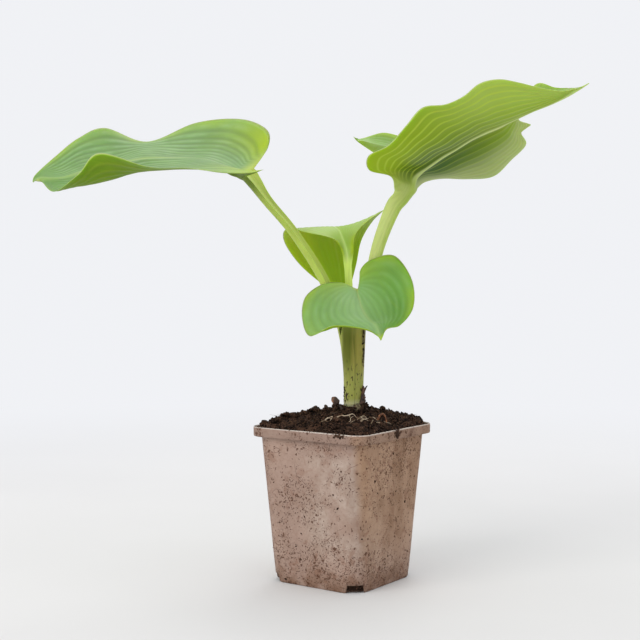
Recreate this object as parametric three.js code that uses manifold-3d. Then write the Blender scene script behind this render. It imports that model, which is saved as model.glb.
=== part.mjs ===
// A young hosta with five leaves in a square nursery pot of compost.
// Millimetres, +Z up. The origin is the middle of the pot's underside, X and Y are square to
// the pot's sides. The plant is described in a group of its own, turned about Z in the pot.
import * as THREE from "three";
import { LoftGeometry } from "three/addons/geometries/LoftGeometry.js";
import { mergeVertices } from "three/addons/utils/BufferGeometryUtils.js";
import Module from "manifold-3d";

// Pot: a square with round corners, at the foot, under the rim band and at the rim
const POT_HEIGHT = 100;
const BASE = { half: 34.5, corner: 13 };
const NECK = { half: 40.7, corner: 11.5 };
const RIM = { half: 44, corner: 10 };
const RIM_BAND = 6.3;
const NECK_Z = POT_HEIGHT - RIM_BAND;
const WALL = 1.1;
const FLOOR = 1.2;
const EDGE = 0.5;
const CORNER_STEPS = 6;
const NOTCH = { foot: 12, top: 10, height: 5, reach: 10 };

// Soil and crown
const GAP = 0.3;
const SOIL_EDGE_Z = 98.4;
const MOUND = [
  { share: 0.9, z: 100.4 },
  { share: 0.72, z: 101.2 },
  { share: 0.54, z: 102.2 },
  { share: 0.36, z: 104 },
  { share: 0.2, z: 106.6 },
  { share: 0.08, z: 108 },
];
const MOUND_SQUARENESS = 0.7;
const CRUMBLE = { coarse: 0.9, fine: 0.5, coarseWave: 0.3, fineWave: 0.7, shiftX: 1.3, shiftY: -0.4 };
const CROWN_RADIUS = 6.3;
const CROWN_FOOT_Z = 84;
const CROWN_TAPER = 6;
const CROWN_TOP_Z = 111.6;
const ROUND_STEPS = 20;

// Plant
const PLANT_TURN = THREE.MathUtils.degToRad(35.5);
const STEM_X = 7;
const STEM_FOOT_Z = 112;
const STEM_RING = 4.1;
const BLADE_THICKNESS = 0.8;
const TIP_THINNING = 0.6;
const KEEL_SHARE = 0.3;
const BLADE_OPENS_BY = 0.12;
const HALF_STEPS = 4;
const BLADE_STEPS = 22;
const BLADE_ENDS_AT = 0.985;
const RUFFLE_SPAN = 0.1;
const PETIOLE_STEPS = 12;
const PETIOLE_TURNS_FROM = 0.1;
const SLOPE_STEP = 0.01;
const FACING_STEP = 0.04;

// A petiole's section, as shares of its width
const PETIOLE = { rise: 0.24, channel: 0.14, depth: 0.78, flare: 0.6 };

const wasm = await Module();
wasm.setup();

// Solids

function toSolid(geometry) {
  const bare = new THREE.BufferGeometry();
  bare.setAttribute("position", geometry.getAttribute("position"));
  bare.setIndex(geometry.getIndex());
  const merged = mergeVertices(bare, 1e-3);
  return new wasm.Manifold(
    new wasm.Mesh({
      numProp: 3,
      vertProperties: merged.attributes.position.array,
      triVerts: new Uint32Array(merged.index.array),
    }),
  );
}

function toGeometry(solid) {
  const mesh = solid.getMesh();
  const geometry = new THREE.BufferGeometry();
  geometry.setAttribute("position", new THREE.BufferAttribute(mesh.vertProperties, 3));
  geometry.setIndex(new THREE.BufferAttribute(mesh.triVerts, 1));
  geometry.computeVertexNormals();
  return geometry;
}

function piece(name, geometry, colour, roughness) {
  const material = new THREE.MeshStandardMaterial({ color: colour, roughness, metalness: 0 });
  const mesh = new THREE.Mesh(geometry, material);
  mesh.name = name;
  return mesh;
}

function closedLoft(sections) {
  return new LoftGeometry(sections, { capStart: true, capEnd: true });
}

// A solid turned about Z, from [radius, height] points.
function turned(profile, steps) {
  const points = profile.map(([radius, height]) => new THREE.Vector2(radius, height));
  return new THREE.LatheGeometry(points, steps).rotateX(Math.PI / 2);
}

// A square ring with round corners, counterclockwise from above.
function squareRing(half, corner, z) {
  const points = [];
  for (let quarter = 0; quarter < 4; quarter++) {
    const middle = (quarter + 0.5) * (Math.PI / 2);
    const cx = Math.sign(Math.cos(middle)) * (half - corner);
    const cy = Math.sign(Math.sin(middle)) * (half - corner);
    for (let step = 0; step <= CORNER_STEPS; step++) {
      const angle = (quarter + step / CORNER_STEPS) * (Math.PI / 2);
      const x = cx + corner * Math.cos(angle);
      const y = cy + corner * Math.sin(angle);
      points.push(new THREE.Vector3(x, y, z));
    }
  }
  return points;
}

// Pot: outer shape less inner shape, less a drainage notch at each corner of the foot

function potOutside() {
  return [
    squareRing(BASE.half - EDGE, BASE.corner, 0),
    squareRing(BASE.half, BASE.corner, EDGE),
    squareRing(NECK.half, NECK.corner, NECK_Z),
    squareRing(RIM.half - EDGE, RIM.corner, NECK_Z + EDGE),
    squareRing(RIM.half, RIM.corner, POT_HEIGHT - EDGE),
    squareRing(RIM.half - EDGE / 2, RIM.corner, POT_HEIGHT),
  ];
}

// The inner wall up to the rim, or a shape that stands clear of it by the inset.
function potInside(inset) {
  const stepZ = NECK_Z + WALL + inset;
  return [
    squareRing(BASE.half - WALL - inset, BASE.corner - WALL, FLOOR + inset),
    squareRing(NECK.half - WALL - inset, NECK.corner - WALL, stepZ),
    squareRing(RIM.half - 2 * WALL - inset, RIM.corner - WALL, stepZ + WALL),
  ];
}

function notchGeometry(corner) {
  const outline = new THREE.Shape([
    new THREE.Vector2(-NOTCH.foot / 2, -1),
    new THREE.Vector2(NOTCH.foot / 2, -1),
    new THREE.Vector2(NOTCH.top / 2, NOTCH.height),
    new THREE.Vector2(-NOTCH.top / 2, NOTCH.height),
  ]);
  const toCorner = Math.SQRT2 * (BASE.half - BASE.corner) + BASE.corner;
  const prism = new THREE.ExtrudeGeometry(outline, { depth: NOTCH.reach, bevelEnabled: false });
  prism.rotateX(Math.PI / 2);
  prism.translate(0, toCorner + NOTCH.reach / 2, 0);
  return prism.rotateZ((corner + 0.5) * (Math.PI / 2));
}

function potGeometry() {
  const inside = potInside(0);
  inside.push(squareRing(RIM.half - WALL, RIM.corner - WALL, POT_HEIGHT));
  inside.push(squareRing(RIM.half - WALL, RIM.corner - WALL, POT_HEIGHT + 1));
  let pot = toSolid(closedLoft(potOutside())).subtract(toSolid(closedLoft(inside)));
  for (let corner = 0; corner < 4; corner++) pot = pot.subtract(toSolid(notchGeometry(corner)));
  return toGeometry(pot);
}

// Soil: fills the pot with a small gap, mounded round the stem, with a socket for the crown

const stem = new THREE.Vector3(STEM_X, 0, 0).applyAxisAngle(new THREE.Vector3(0, 0, 1), PLANT_TURN);

function crumble({ x, y }) {
  const ridges = Math.sin(CRUMBLE.coarseWave * x + CRUMBLE.shiftX);
  const furrows = Math.cos(CRUMBLE.coarseWave * y + CRUMBLE.shiftY);
  const fine = Math.sin(CRUMBLE.fineWave * (x + y));
  return CRUMBLE.coarse * ridges * furrows + CRUMBLE.fine * fine;
}

function soilGeometry() {
  const sections = potInside(GAP);
  sections.push(squareRing(RIM.half - 2 * WALL - 2 * GAP, RIM.corner - WALL, SOIL_EDGE_Z));
  for (const { share, z } of MOUND) {
    const half = share * RIM.half;
    const ring = squareRing(half, half * (1 - MOUND_SQUARENESS * share), z);
    for (const point of ring) {
      point.z += crumble(point);
      point.addScaledVector(stem, 1 - share);
    }
    sections.push(ring);
  }
  const height = 2 * (CROWN_TOP_Z - CROWN_FOOT_Z);
  const socket = new THREE.CylinderGeometry(CROWN_RADIUS + GAP, CROWN_RADIUS + GAP, height, ROUND_STEPS);
  socket.rotateX(Math.PI / 2);
  socket.translate(stem.x, stem.y, CROWN_FOOT_Z - GAP + height / 2);
  return toGeometry(toSolid(closedLoft(sections)).subtract(toSolid(socket)));
}

function crownGeometry() {
  const profile = [
    [0, CROWN_FOOT_Z],
    [CROWN_RADIUS - 2, CROWN_FOOT_Z],
    [CROWN_RADIUS, CROWN_FOOT_Z + CROWN_TAPER],
    [CROWN_RADIUS, CROWN_TOP_Z - 1],
    [CROWN_RADIUS - 1, CROWN_TOP_Z],
    [0, CROWN_TOP_Z],
  ];
  return turned(profile, ROUND_STEPS);
}

// Leaves. A leaf is one loft: the petiole, a channelled rod, opens into the blade.
// foot: where round the stem the petiole stands, in degrees. petiole: points of its centreline
// above the foot. widths: across the petiole, from the foot to the blade.
// rows: from the petiole to the tip, each the midrib point, the left margin point, the right
// margin point, and how far the middles of the left and right halves stand up from a straight
// line between midrib and margin. Left and right are as seen from the petiole, upper side up.

const LEAVES = {
  leaf_left: {
    colour: 0x7fae6a,
    foot: 160,
    petiole: [
      [2.6, 1.3, 136],
      [-0.6, 1, 162],
      [-11.6, -1, 193],
      [-31, -3, 223.6],
      [-48, -2, 244],
      [-57.6, 0, 257.2],
    ],
    widths: [4, 4.4, 5.6, 7, 6.6, 7, 9.2, 10],
    rows: [
      [[-63, 0, 262.7], [-63.2, -5, 261.2], [-57.5, 5, 265.8], 0, 0],
      [[-70, 0, 263.4], [-50, -20, 263], [-48.9, 24, 281.8], 0, -2],
      [[-77, 0, 266.6], [-58, -36, 259.4], [-50.8, 39, 294.9], 1, -4],
      [[-89, -1, 271], [-74, -48, 258.6], [-69, 49, 303], 1, -5],
      [[-108, -3, 272], [-94, -54, 261], [-100, 54, 301], -2, -5],
      [[-130, -6, 271], [-118, -52, 262], [-133, 52, 288], -6, -3],
      [[-152, -9, 266], [-149, -44, 271], [-160, 41, 296], -9, -5],
      [[-166, -11, 262.5], [-163, -38, 259], [-176, 30, 288], -8.5, -4],
      [[-179, -13, 258.5], [-180, -29, 248.6], [-188, 16, 275], -5, -3],
      [[-192, -14, 258], [-192, -15, 257], [-196, -8, 261], 0, 0],
      [[-197, -14, 255], [-197, -14, 255], [-197, -14, 255], 0, 0],
    ],
  },
  leaf_right: {
    colour: 0x9aad3a,
    foot: -50,
    petiole: [
      [9.9, -2.9, 135],
      [10.3, -2.3, 160],
      [17, -0.5, 187],
      [22.7, 0, 214],
      [31.5, 0, 238],
      [37, 0, 247],
    ],
    widths: [4.2, 6.4, 9, 8, 8.2, 10, 11.4, 13],
    rows: [
      [[40, 0, 253], [45, 5, 251], [33, -5, 251], 0, 0],
      [[44, 0, 260], [49, 18, 254], [30, -14, 259], 0, 0],
      [[49, 0, 265], [56, 31, 259], [16, -26, 262], 0, 0],
      [[55, 0, 269], [68, 41, 262], [15, -36, 270], -2, -3],
      [[63, 0, 274], [86, 49, 262], [27, -42, 276], -3, -5],
      [[72, 0, 279], [104, 51, 264], [37, -46, 287], -3, -6],
      [[82, 0, 285], [116, 49, 275], [47, -48, 298], -4, -6],
      [[91, 0, 289], [125, 43, 285], [61, -48, 300], -4, -6],
      [[99, 0, 292], [121, 39, 293], [72, -47, 305], -3, -6],
      [[106, 0, 295], [126.7, 35, 297.6], [82, -45, 313], -1, -6],
      [[113, -1, 298], [115, 34, 299.6], [94, -42, 316], 1, -6],
      [[122, -1, 302], [118, 28, 309], [107, -36, 315], 1, -5],
      [[133, -3, 306], [126, 10, 321], [123, -26, 313], 0, -3],
      [[143, -4, 310.5], [137.2, 2, 317.4], [139, -13, 313], 0, -1],
      [[150.6, -6, 314.8], [149.2, -4, 316.2], [149, -8, 315.2], 0, 0],
      [[158.4, -7, 320], [158.4, -7, 320], [158.4, -7, 320], 0, 0],
    ],
  },
  leaf_back: {
    colour: 0x8fae3c,
    foot: 92,
    petiole: [
      [6.2, 4.5, 140],
      [5, 4.9, 168],
      [4.2, 5.6, 186],
      [3.8, 6.4, 196],
    ],
    widths: [4, 4.2, 4.6, 4.8, 4.8, 5.2],
    rows: [
      [[3.4, 7.2, 203], [0.9, 7.2, 203], [5.9, 7.2, 203], 0, 0],
      [[2.6, 9, 212], [-0.6, 8.4, 212], [7.2, 7, 212], 0, 0],
      [[0.6, 15, 220], [-5, 6, 220], [7.6, 4, 221], 0, 0],
      [[-2.4, 26, 227], [-22, 8, 224], [13, 4, 229], 1, 0],
      [[-6, 40, 229], [-37, 22, 227], [28, 18, 240], 1.8, -1],
      [[-5, 58, 221], [-39, 44, 219], [21, 42, 233], 2.6, 0],
      [[-2, 70, 206], [-29, 60, 204], [14, 60, 220.5], 2, 2],
      [[1, 74, 190], [-13, 68, 190], [10.5, 70, 203], 1, 1],
      [[4, 72, 178], [4, 72, 178], [4, 72, 178], 0, 0],
    ],
  },
  leaf_front: {
    colour: 0x79a968,
    foot: -128,
    petiole: [
      [3.6, -3.9, 138],
      [3.1, -5.2, 158],
      [6, -8.8, 175],
      [8.2, -12, 184],
    ],
    widths: [4.2, 5.4, 5.6, 5.2, 5, 5.4],
    rows: [
      [[9, -14, 188], [11, -12, 190], [6, -12, 189], 0, 0],
      [[9, -20, 185], [11, -10, 200], [-1, -7, 192], 0, 1],
      [[10, -27, 181], [18.6, -8, 207], [-13, -9, 191], -2, 1.5],
      [[11, -34, 177], [33, -10, 209], [-24, -16, 183], -3, 2],
      [[13, -41, 173], [43, -22, 194], [-26, -26, 170], -4, 2],
      [[16, -47, 169], [43, -36, 177], [-21, -36, 159], -3, 2],
      [[19, -51, 167], [34, -46, 166], [-7, -46, 166], -1, 0.5],
      [[21, -54, 163], [25.4, -52, 164.8], [12.4, -53, 164.6], 0, 0],
      [[21.8, -55, 160], [23.6, -54.6, 160.6], [19.6, -54.8, 160.4], 0, 0],
      [[22, -55.6, 157], [22, -55.6, 157], [22, -55.6, 157], 0, 0],
    ],
  },
  leaf_behind: {
    colour: 0x7cab72,
    foot: 24,
    petiole: [
      [11.2, 3.3, 138],
      [12.4, 5.6, 165],
      [17, 12, 190],
      [24, 22, 214],
      [34, 42, 240],
      [43, 52, 255],
    ],
    widths: [4, 4.2, 4.8, 5.2, 5.4, 5.6, 6, 7.5],
    rows: [
      [[60, 60, 273], [57, 58, 270], [64, 62, 274], 0, 0],
      [[53, 62, 278], [59, 44, 265], [73, 76, 285], 0, 0],
      [[44, 66, 282], [49, 38, 268], [60, 94, 293], 2, -3],
      [[34, 72, 286], [37, 42, 272], [44, 104, 297.4], 2, -4],
      [[24, 78, 289], [26, 52, 278], [31, 104, 299.8], 1, -3],
      [[16, 84, 292], [18, 68, 285], [17.6, 96, 295.4], 0, -1],
      [[11.7, 88, 292.8], [11.6, 87.2, 291.9], [11.8, 88.8, 293.7], 0, 0],
      [[9, 90, 295.6], [9, 90, 295.6], [9, 90, 295.6], 0, 0],
    ],
  },
};

function curveThrough(points) {
  const vectors = points.map((point) => new THREE.Vector3(...point));
  return new THREE.CatmullRomCurve3(vectors, false, "catmullrom", 0.5);
}

// A number that runs smoothly through the given values.
function valueThrough(values) {
  const curve = curveThrough(values.map((value) => [value, 0, 0]));
  return (t) => curve.getPoint(t).x;
}

function railsOf(leaf) {
  const column = (index) => leaf.rows.map((row) => row[index]);
  return {
    midrib: curveThrough(column(0)),
    margins: [curveThrough(column(1)), curveThrough(column(2))],
    rises: [valueThrough(column(3)), valueThrough(column(4))],
  };
}

// A margin with its ruffles evened out.
function calmMargin(margin, t) {
  const span = Math.min(RUFFLE_SPAN, t, 1 - t);
  return margin.getPoint(t).add(margin.getPoint(t - span)).add(margin.getPoint(t + span)).divideScalar(3);
}

// The middle of one half of the blade, raised square to it.
function middleOfHalf(rails, side, t) {
  const between = (at) => rails.midrib.getPoint(at).lerp(calmMargin(rails.margins[side], at), 0.5);
  const along = between(Math.min(t + SLOPE_STEP, 1)).sub(between(Math.max(t - SLOPE_STEP, 0)));
  const across = rails.margins[side].getPoint(t).sub(rails.midrib.getPoint(t));
  if (side === 0) across.negate();
  const up = across.cross(along).normalize();
  return between(t).addScaledVector(up, rails.rises[side](t));
}

// Upper side of the blade. v runs from -1, the left margin, through 0, the midrib, to 1.
// Each half is the parabola through its midrib point, its middle and its margin point.
function bladePoint(rails, v, t) {
  const side = v < 0 ? 0 : 1;
  const share = Math.abs(v);
  const point = rails.midrib.getPoint(t).multiplyScalar((1 - share) * (1 - 2 * share));
  point.addScaledVector(middleOfHalf(rails, side, t), 4 * share * (1 - share));
  return point.addScaledVector(rails.margins[side].getPoint(t), share * (2 * share - 1));
}

function bladeUp(rails, v, t) {
  const step = FACING_STEP;
  const across = bladePoint(rails, Math.min(v + step, 1), t);
  across.sub(bladePoint(rails, Math.max(v - step, -1), t));
  const along = bladePoint(rails, v, Math.min(t + step, 1));
  along.sub(bladePoint(rails, v, Math.max(t - step, 0)));
  return across.cross(along).normalize();
}

// Shares of the half width at which a section has points, from left to right.
const SHARES = [];
for (let step = -HALF_STEPS; step <= HALF_STEPS; step++) SHARES.push(step / HALF_STEPS);
const INNER_SHARES = SHARES.slice(1, -1).reverse();

function petioleSection(centre, across, up, width) {
  const place = (v, height) =>
    centre.clone().addScaledVector(across, (v * width) / 2).addScaledVector(up, height * width);
  const top = SHARES.map((v) => place(v, PETIOLE.rise - PETIOLE.channel * (1 - v * v)));
  const under = INNER_SHARES.map((v) => place(v, PETIOLE.rise - PETIOLE.depth * Math.sqrt(1 - v * v)));
  return top.concat(under);
}

// The blade's underside has a keel under the midrib that carries the petiole's depth on.
function bladeSection(rails, t, petioleWidth) {
  const opened = THREE.MathUtils.smoothstep(t, 0, BLADE_OPENS_BY);
  const keel = KEEL_SHARE * petioleWidth * opened * (1 - t) ** 2;
  const top = SHARES.map((v) => bladePoint(rails, v, t));
  const under = INNER_SHARES.map((v) => {
    const rod = PETIOLE.flare * petioleWidth * Math.sqrt(1 - v * v);
    const sheet = BLADE_THICKNESS * (1 - TIP_THINNING * t) + (v === 0 ? keel : 0);
    const thickness = THREE.MathUtils.lerp(rod, sheet, opened);
    return bladePoint(rails, v, t).addScaledVector(bladeUp(rails, v, t), -thickness);
  });
  return top.concat(under);
}

// The petiole's channel faces the middle of the stem at its foot and turns to the blade's
// upper side along its length.
function petioleSections(leaf, rails) {
  const angle = THREE.MathUtils.degToRad(leaf.foot);
  const foot = [STEM_X + STEM_RING * Math.cos(angle), STEM_RING * Math.sin(angle), STEM_FOOT_Z];
  const centreline = curveThrough([foot, ...leaf.petiole, leaf.rows[0][0]]);
  const width = valueThrough(leaf.widths);
  const footAcross = new THREE.Vector3(Math.sin(angle), -Math.cos(angle), 0);
  const bladeAcross = rails.margins[1].getPoint(0).sub(rails.margins[0].getPoint(0)).normalize();
  const sections = [];
  for (let step = 0; step < PETIOLE_STEPS; step++) {
    const s = step / PETIOLE_STEPS;
    const along = step === 0 ? new THREE.Vector3(0, 0, 1) : centreline.getTangent(s);
    const turnedBy = THREE.MathUtils.smoothstep(s, PETIOLE_TURNS_FROM, 1);
    const across = footAcross.clone().lerp(bladeAcross, turnedBy);
    across.addScaledVector(along, -across.dot(along)).normalize();
    const up = across.clone().cross(along);
    sections.push(petioleSection(centreline.getPoint(s), across, up, width(s)));
  }
  return sections;
}

function leafGeometry(leaf) {
  const rails = railsOf(leaf);
  const sections = petioleSections(leaf, rails);
  const petioleWidth = leaf.widths.at(-1);
  for (let step = 0; step <= BLADE_STEPS; step++) {
    sections.push(bladeSection(rails, (BLADE_ENDS_AT * step) / BLADE_STEPS, petioleWidth));
  }
  return closedLoft(sections);
}

// Small dry pieces at the stem's foot

// A spent bud: a short stalk with a round head, along Z, leaning in degrees from where it stands.
const BUD = { place: [-0.6, -7.4, 108.6], lean: -35, colour: 0x7a5535, sides: 10 };

function budGeometry() {
  const profile = [
    [0, 0],
    [0.8, 0],
    [0.7, 4],
    [2.2, 6.2],
    [2.8, 8.6],
    [1.9, 11],
    [0, 12],
  ];
  return turned(profile, BUD.sides);
}

// A dry scale: a thin strip bowed round the stem. It faces along the given angle. Each row,
// from its foot to its tip, is the middle of the strip, its width and how far its edges fall back.
const SCALES = {
  dry_sheath: {
    colour: 0x3a2a1e,
    facing: -0.2,
    rows: [
      [[14.2, -2.4, 112.5], 4.5, 0.8],
      [[14.5, -2.4, 118], 4, 0.7],
      [[15.4, -2.6, 122], 3, 0.4],
      [[16.8, -2.8, 126], 1, 0.1],
    ],
  },
  torn_scale: {
    colour: 0x8a5f3a,
    facing: -1.5,
    rows: [
      [[8.5, -7.6, 112.2], 5, 0.8],
      [[8.6, -7.7, 114], 4, 0.6],
      [[9.2, -8.2, 116], 1.6, 0.1],
    ],
  },
};
const SCALE_THICKNESS = 0.5;
const STRIP = [-1, -0.5, 0, 0.5, 1];

function scaleGeometry({ facing, rows }) {
  const out = new THREE.Vector3(Math.cos(facing), Math.sin(facing), 0);
  const across = new THREE.Vector3(-out.y, out.x, 0);
  const sections = rows.map(([middle, width, fall]) => {
    const place = (v, depth) =>
      new THREE.Vector3(...middle)
        .addScaledVector(across, (v * width) / 2)
        .addScaledVector(out, -fall * v * v - depth);
    const front = STRIP.map((v) => place(v, 0));
    const back = STRIP.map((v) => place(-v, SCALE_THICKNESS));
    return front.concat(back);
  });
  return closedLoft(sections);
}

// Thin dry roots that lie on the soil
const ROOT_STEPS = 16;
const ROOT_CURVE_SEGMENTS = 3;
const ROOTS = {
  root_arch: {
    radius: 0.6,
    points: [
      [-7, -19, 104.6],
      [-3, -19.5, 107],
      [1, -19, 108.6],
      [5, -18.5, 107.8],
      [9, -17.5, 106],
    ],
  },
  root_curl: {
    radius: 0.5,
    points: [
      [-12, -17, 105.6],
      [-10, -18.5, 106.8],
      [-8, -18, 106.4],
      [-9, -16.5, 107.6],
    ],
  },
  root_tan: {
    radius: 0.7,
    points: [
      [21, -16, 105.5],
      [24, -16.5, 106.4],
      [27, -15.5, 107.6],
      [29, -14.5, 107.4],
    ],
  },
};

function rootGeometry({ radius, points }) {
  const section = new THREE.Shape();
  section.absarc(0, 0, radius, 0, 2 * Math.PI);
  return new THREE.ExtrudeGeometry(section, {
    steps: ROOT_STEPS,
    curveSegments: ROOT_CURVE_SEGMENTS,
    bevelEnabled: false,
    extrudePath: curveThrough(points),
  });
}

// Assembly

const pottedHosta = new THREE.Group();
pottedHosta.add(piece("pot", potGeometry(), 0xa39080, 0.7));
pottedHosta.add(piece("soil", soilGeometry(), 0x2a1c15, 0.95));

const plant = new THREE.Group();
plant.rotation.z = PLANT_TURN;
pottedHosta.add(plant);

const crown = piece("crown", crownGeometry(), 0xb9b08a, 0.6);
crown.position.set(STEM_X, 0, 0);
plant.add(crown);

for (const [name, leaf] of Object.entries(LEAVES)) {
  plant.add(piece(name, leafGeometry(leaf), leaf.colour, 0.5));
}

const bud = piece("dry_bud", budGeometry(), BUD.colour, 0.9);
bud.position.set(...BUD.place);
bud.rotation.y = THREE.MathUtils.degToRad(BUD.lean);
plant.add(bud);

for (const [name, scale] of Object.entries(SCALES)) {
  plant.add(piece(name, scaleGeometry(scale), scale.colour, 0.9));
}

for (const [name, root] of Object.entries(ROOTS)) {
  plant.add(piece(name, rootGeometry(root), 0xb08d62, 0.85));
}

export default pottedHosta;
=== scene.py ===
import math
import random

import bmesh
import bpy
import numpy as np
from mathutils import Matrix, Vector, noise


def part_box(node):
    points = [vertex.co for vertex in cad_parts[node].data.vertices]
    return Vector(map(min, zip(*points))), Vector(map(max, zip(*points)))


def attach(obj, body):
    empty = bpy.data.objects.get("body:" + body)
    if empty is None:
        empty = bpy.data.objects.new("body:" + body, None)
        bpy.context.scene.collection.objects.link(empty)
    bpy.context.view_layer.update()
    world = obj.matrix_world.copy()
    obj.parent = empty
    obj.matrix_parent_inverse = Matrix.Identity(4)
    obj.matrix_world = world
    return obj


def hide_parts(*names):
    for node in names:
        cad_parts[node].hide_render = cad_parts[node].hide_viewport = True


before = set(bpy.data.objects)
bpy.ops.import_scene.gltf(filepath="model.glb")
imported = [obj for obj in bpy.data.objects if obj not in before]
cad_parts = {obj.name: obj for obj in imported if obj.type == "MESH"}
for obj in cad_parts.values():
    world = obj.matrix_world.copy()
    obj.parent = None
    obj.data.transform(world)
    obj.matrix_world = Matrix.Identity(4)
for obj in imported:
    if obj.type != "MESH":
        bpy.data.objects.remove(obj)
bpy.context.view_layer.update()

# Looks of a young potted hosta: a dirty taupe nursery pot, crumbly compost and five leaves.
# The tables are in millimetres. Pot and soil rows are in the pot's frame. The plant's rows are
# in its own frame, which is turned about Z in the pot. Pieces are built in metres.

MM = 0.001

# Pot: half width, corner radius and height of its square rings, its notches, and how far its
# wall and rim wave
pot_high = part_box("pot")[1] / MM
RIM_HALF = pot_high.x
POT_HEIGHT = pot_high.z
RIM_CORNER = 10
RIM_BAND = 6.3
NECK_HALF = RIM_HALF - 3.3
NECK_CORNER = 11.5
NECK_Z = POT_HEIGHT - RIM_BAND
BASE_HALF = 34.5
BASE_CORNER = 13
WALL = 1.1
FLOOR = 1.2
NOTCH_FOOT = 12
NOTCH_TOP = 10
NOTCH_HEIGHT = 5
NOTCH_REACH = 5
WALL_WAVE = 0.35

# Dried compost on the pot: how low it sticks, how many specks there are on the wall and on the
# rim, and the clumps on the rim's outside as place, spread and count
LOWEST_DIRT = 1.5
WALL_SPECKS = 520
RIM_SPECKS = 260
RIM_CLUMPS = [((27.8, -44, 98.8), (3.6, 0.3, 1), 44), ((44, -4, 97.6), (0.3, 2.4, 2.6), 80)]

# Soil: the gap by the wall, share of the rim's half width and height of the mound's rings, and
# how many crumbs, fibres and rootlets lie on it
GAP = 0.3
SOIL_EDGE_Z = 98.4
MOUND_SHARES = [0.94, 0.9, 0.72, 0.54, 0.36, 0.2, 0.08]
MOUND_HEIGHTS = [SOIL_EDGE_Z, 101.2, 103, 104.2, 105.4, 107, 108.4]
RINGS_BELOW = 4
LARGE_CRUMBS = 620
SMALL_CRUMBS = 3400
FIBRES = 170
ROOTLETS = 17

# Plant
PLANT_TURN = math.radians(35.5)
STEM_X = 7
STEM_FOOT_Z = 112
STEM_RING = 4.1
BLADE_THICKNESS = 0.5
FAN_FULL = 0.97
BLADE_ENDS_AT = 0.985
RUFFLE_SPAN = 0.1
BLADE_OPENS_BY = 0.12
PETIOLE_RISE = 0.24
PETIOLE_CHANNEL = 0.14
PETIOLE_DEPTH = 0.78
PETIOLE_FLARE = 0.6
PETIOLE_RIBS = 9
RIB_HEIGHT = 0.01
# Relief by the midrib: height and width as shares of the petiole's width; and of the veins below
KEEL_SHARE = 0.3
KEEL_WIDTH = 0.3
GROOVE_DEPTH = 0.05
GROOVE_WIDTH = 0.15
VEIN_RIDGE = 0.2
PETIOLE_STEPS = 56
BLADE_STEPS = 150
STEPS_A_VEIN = 5

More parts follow.
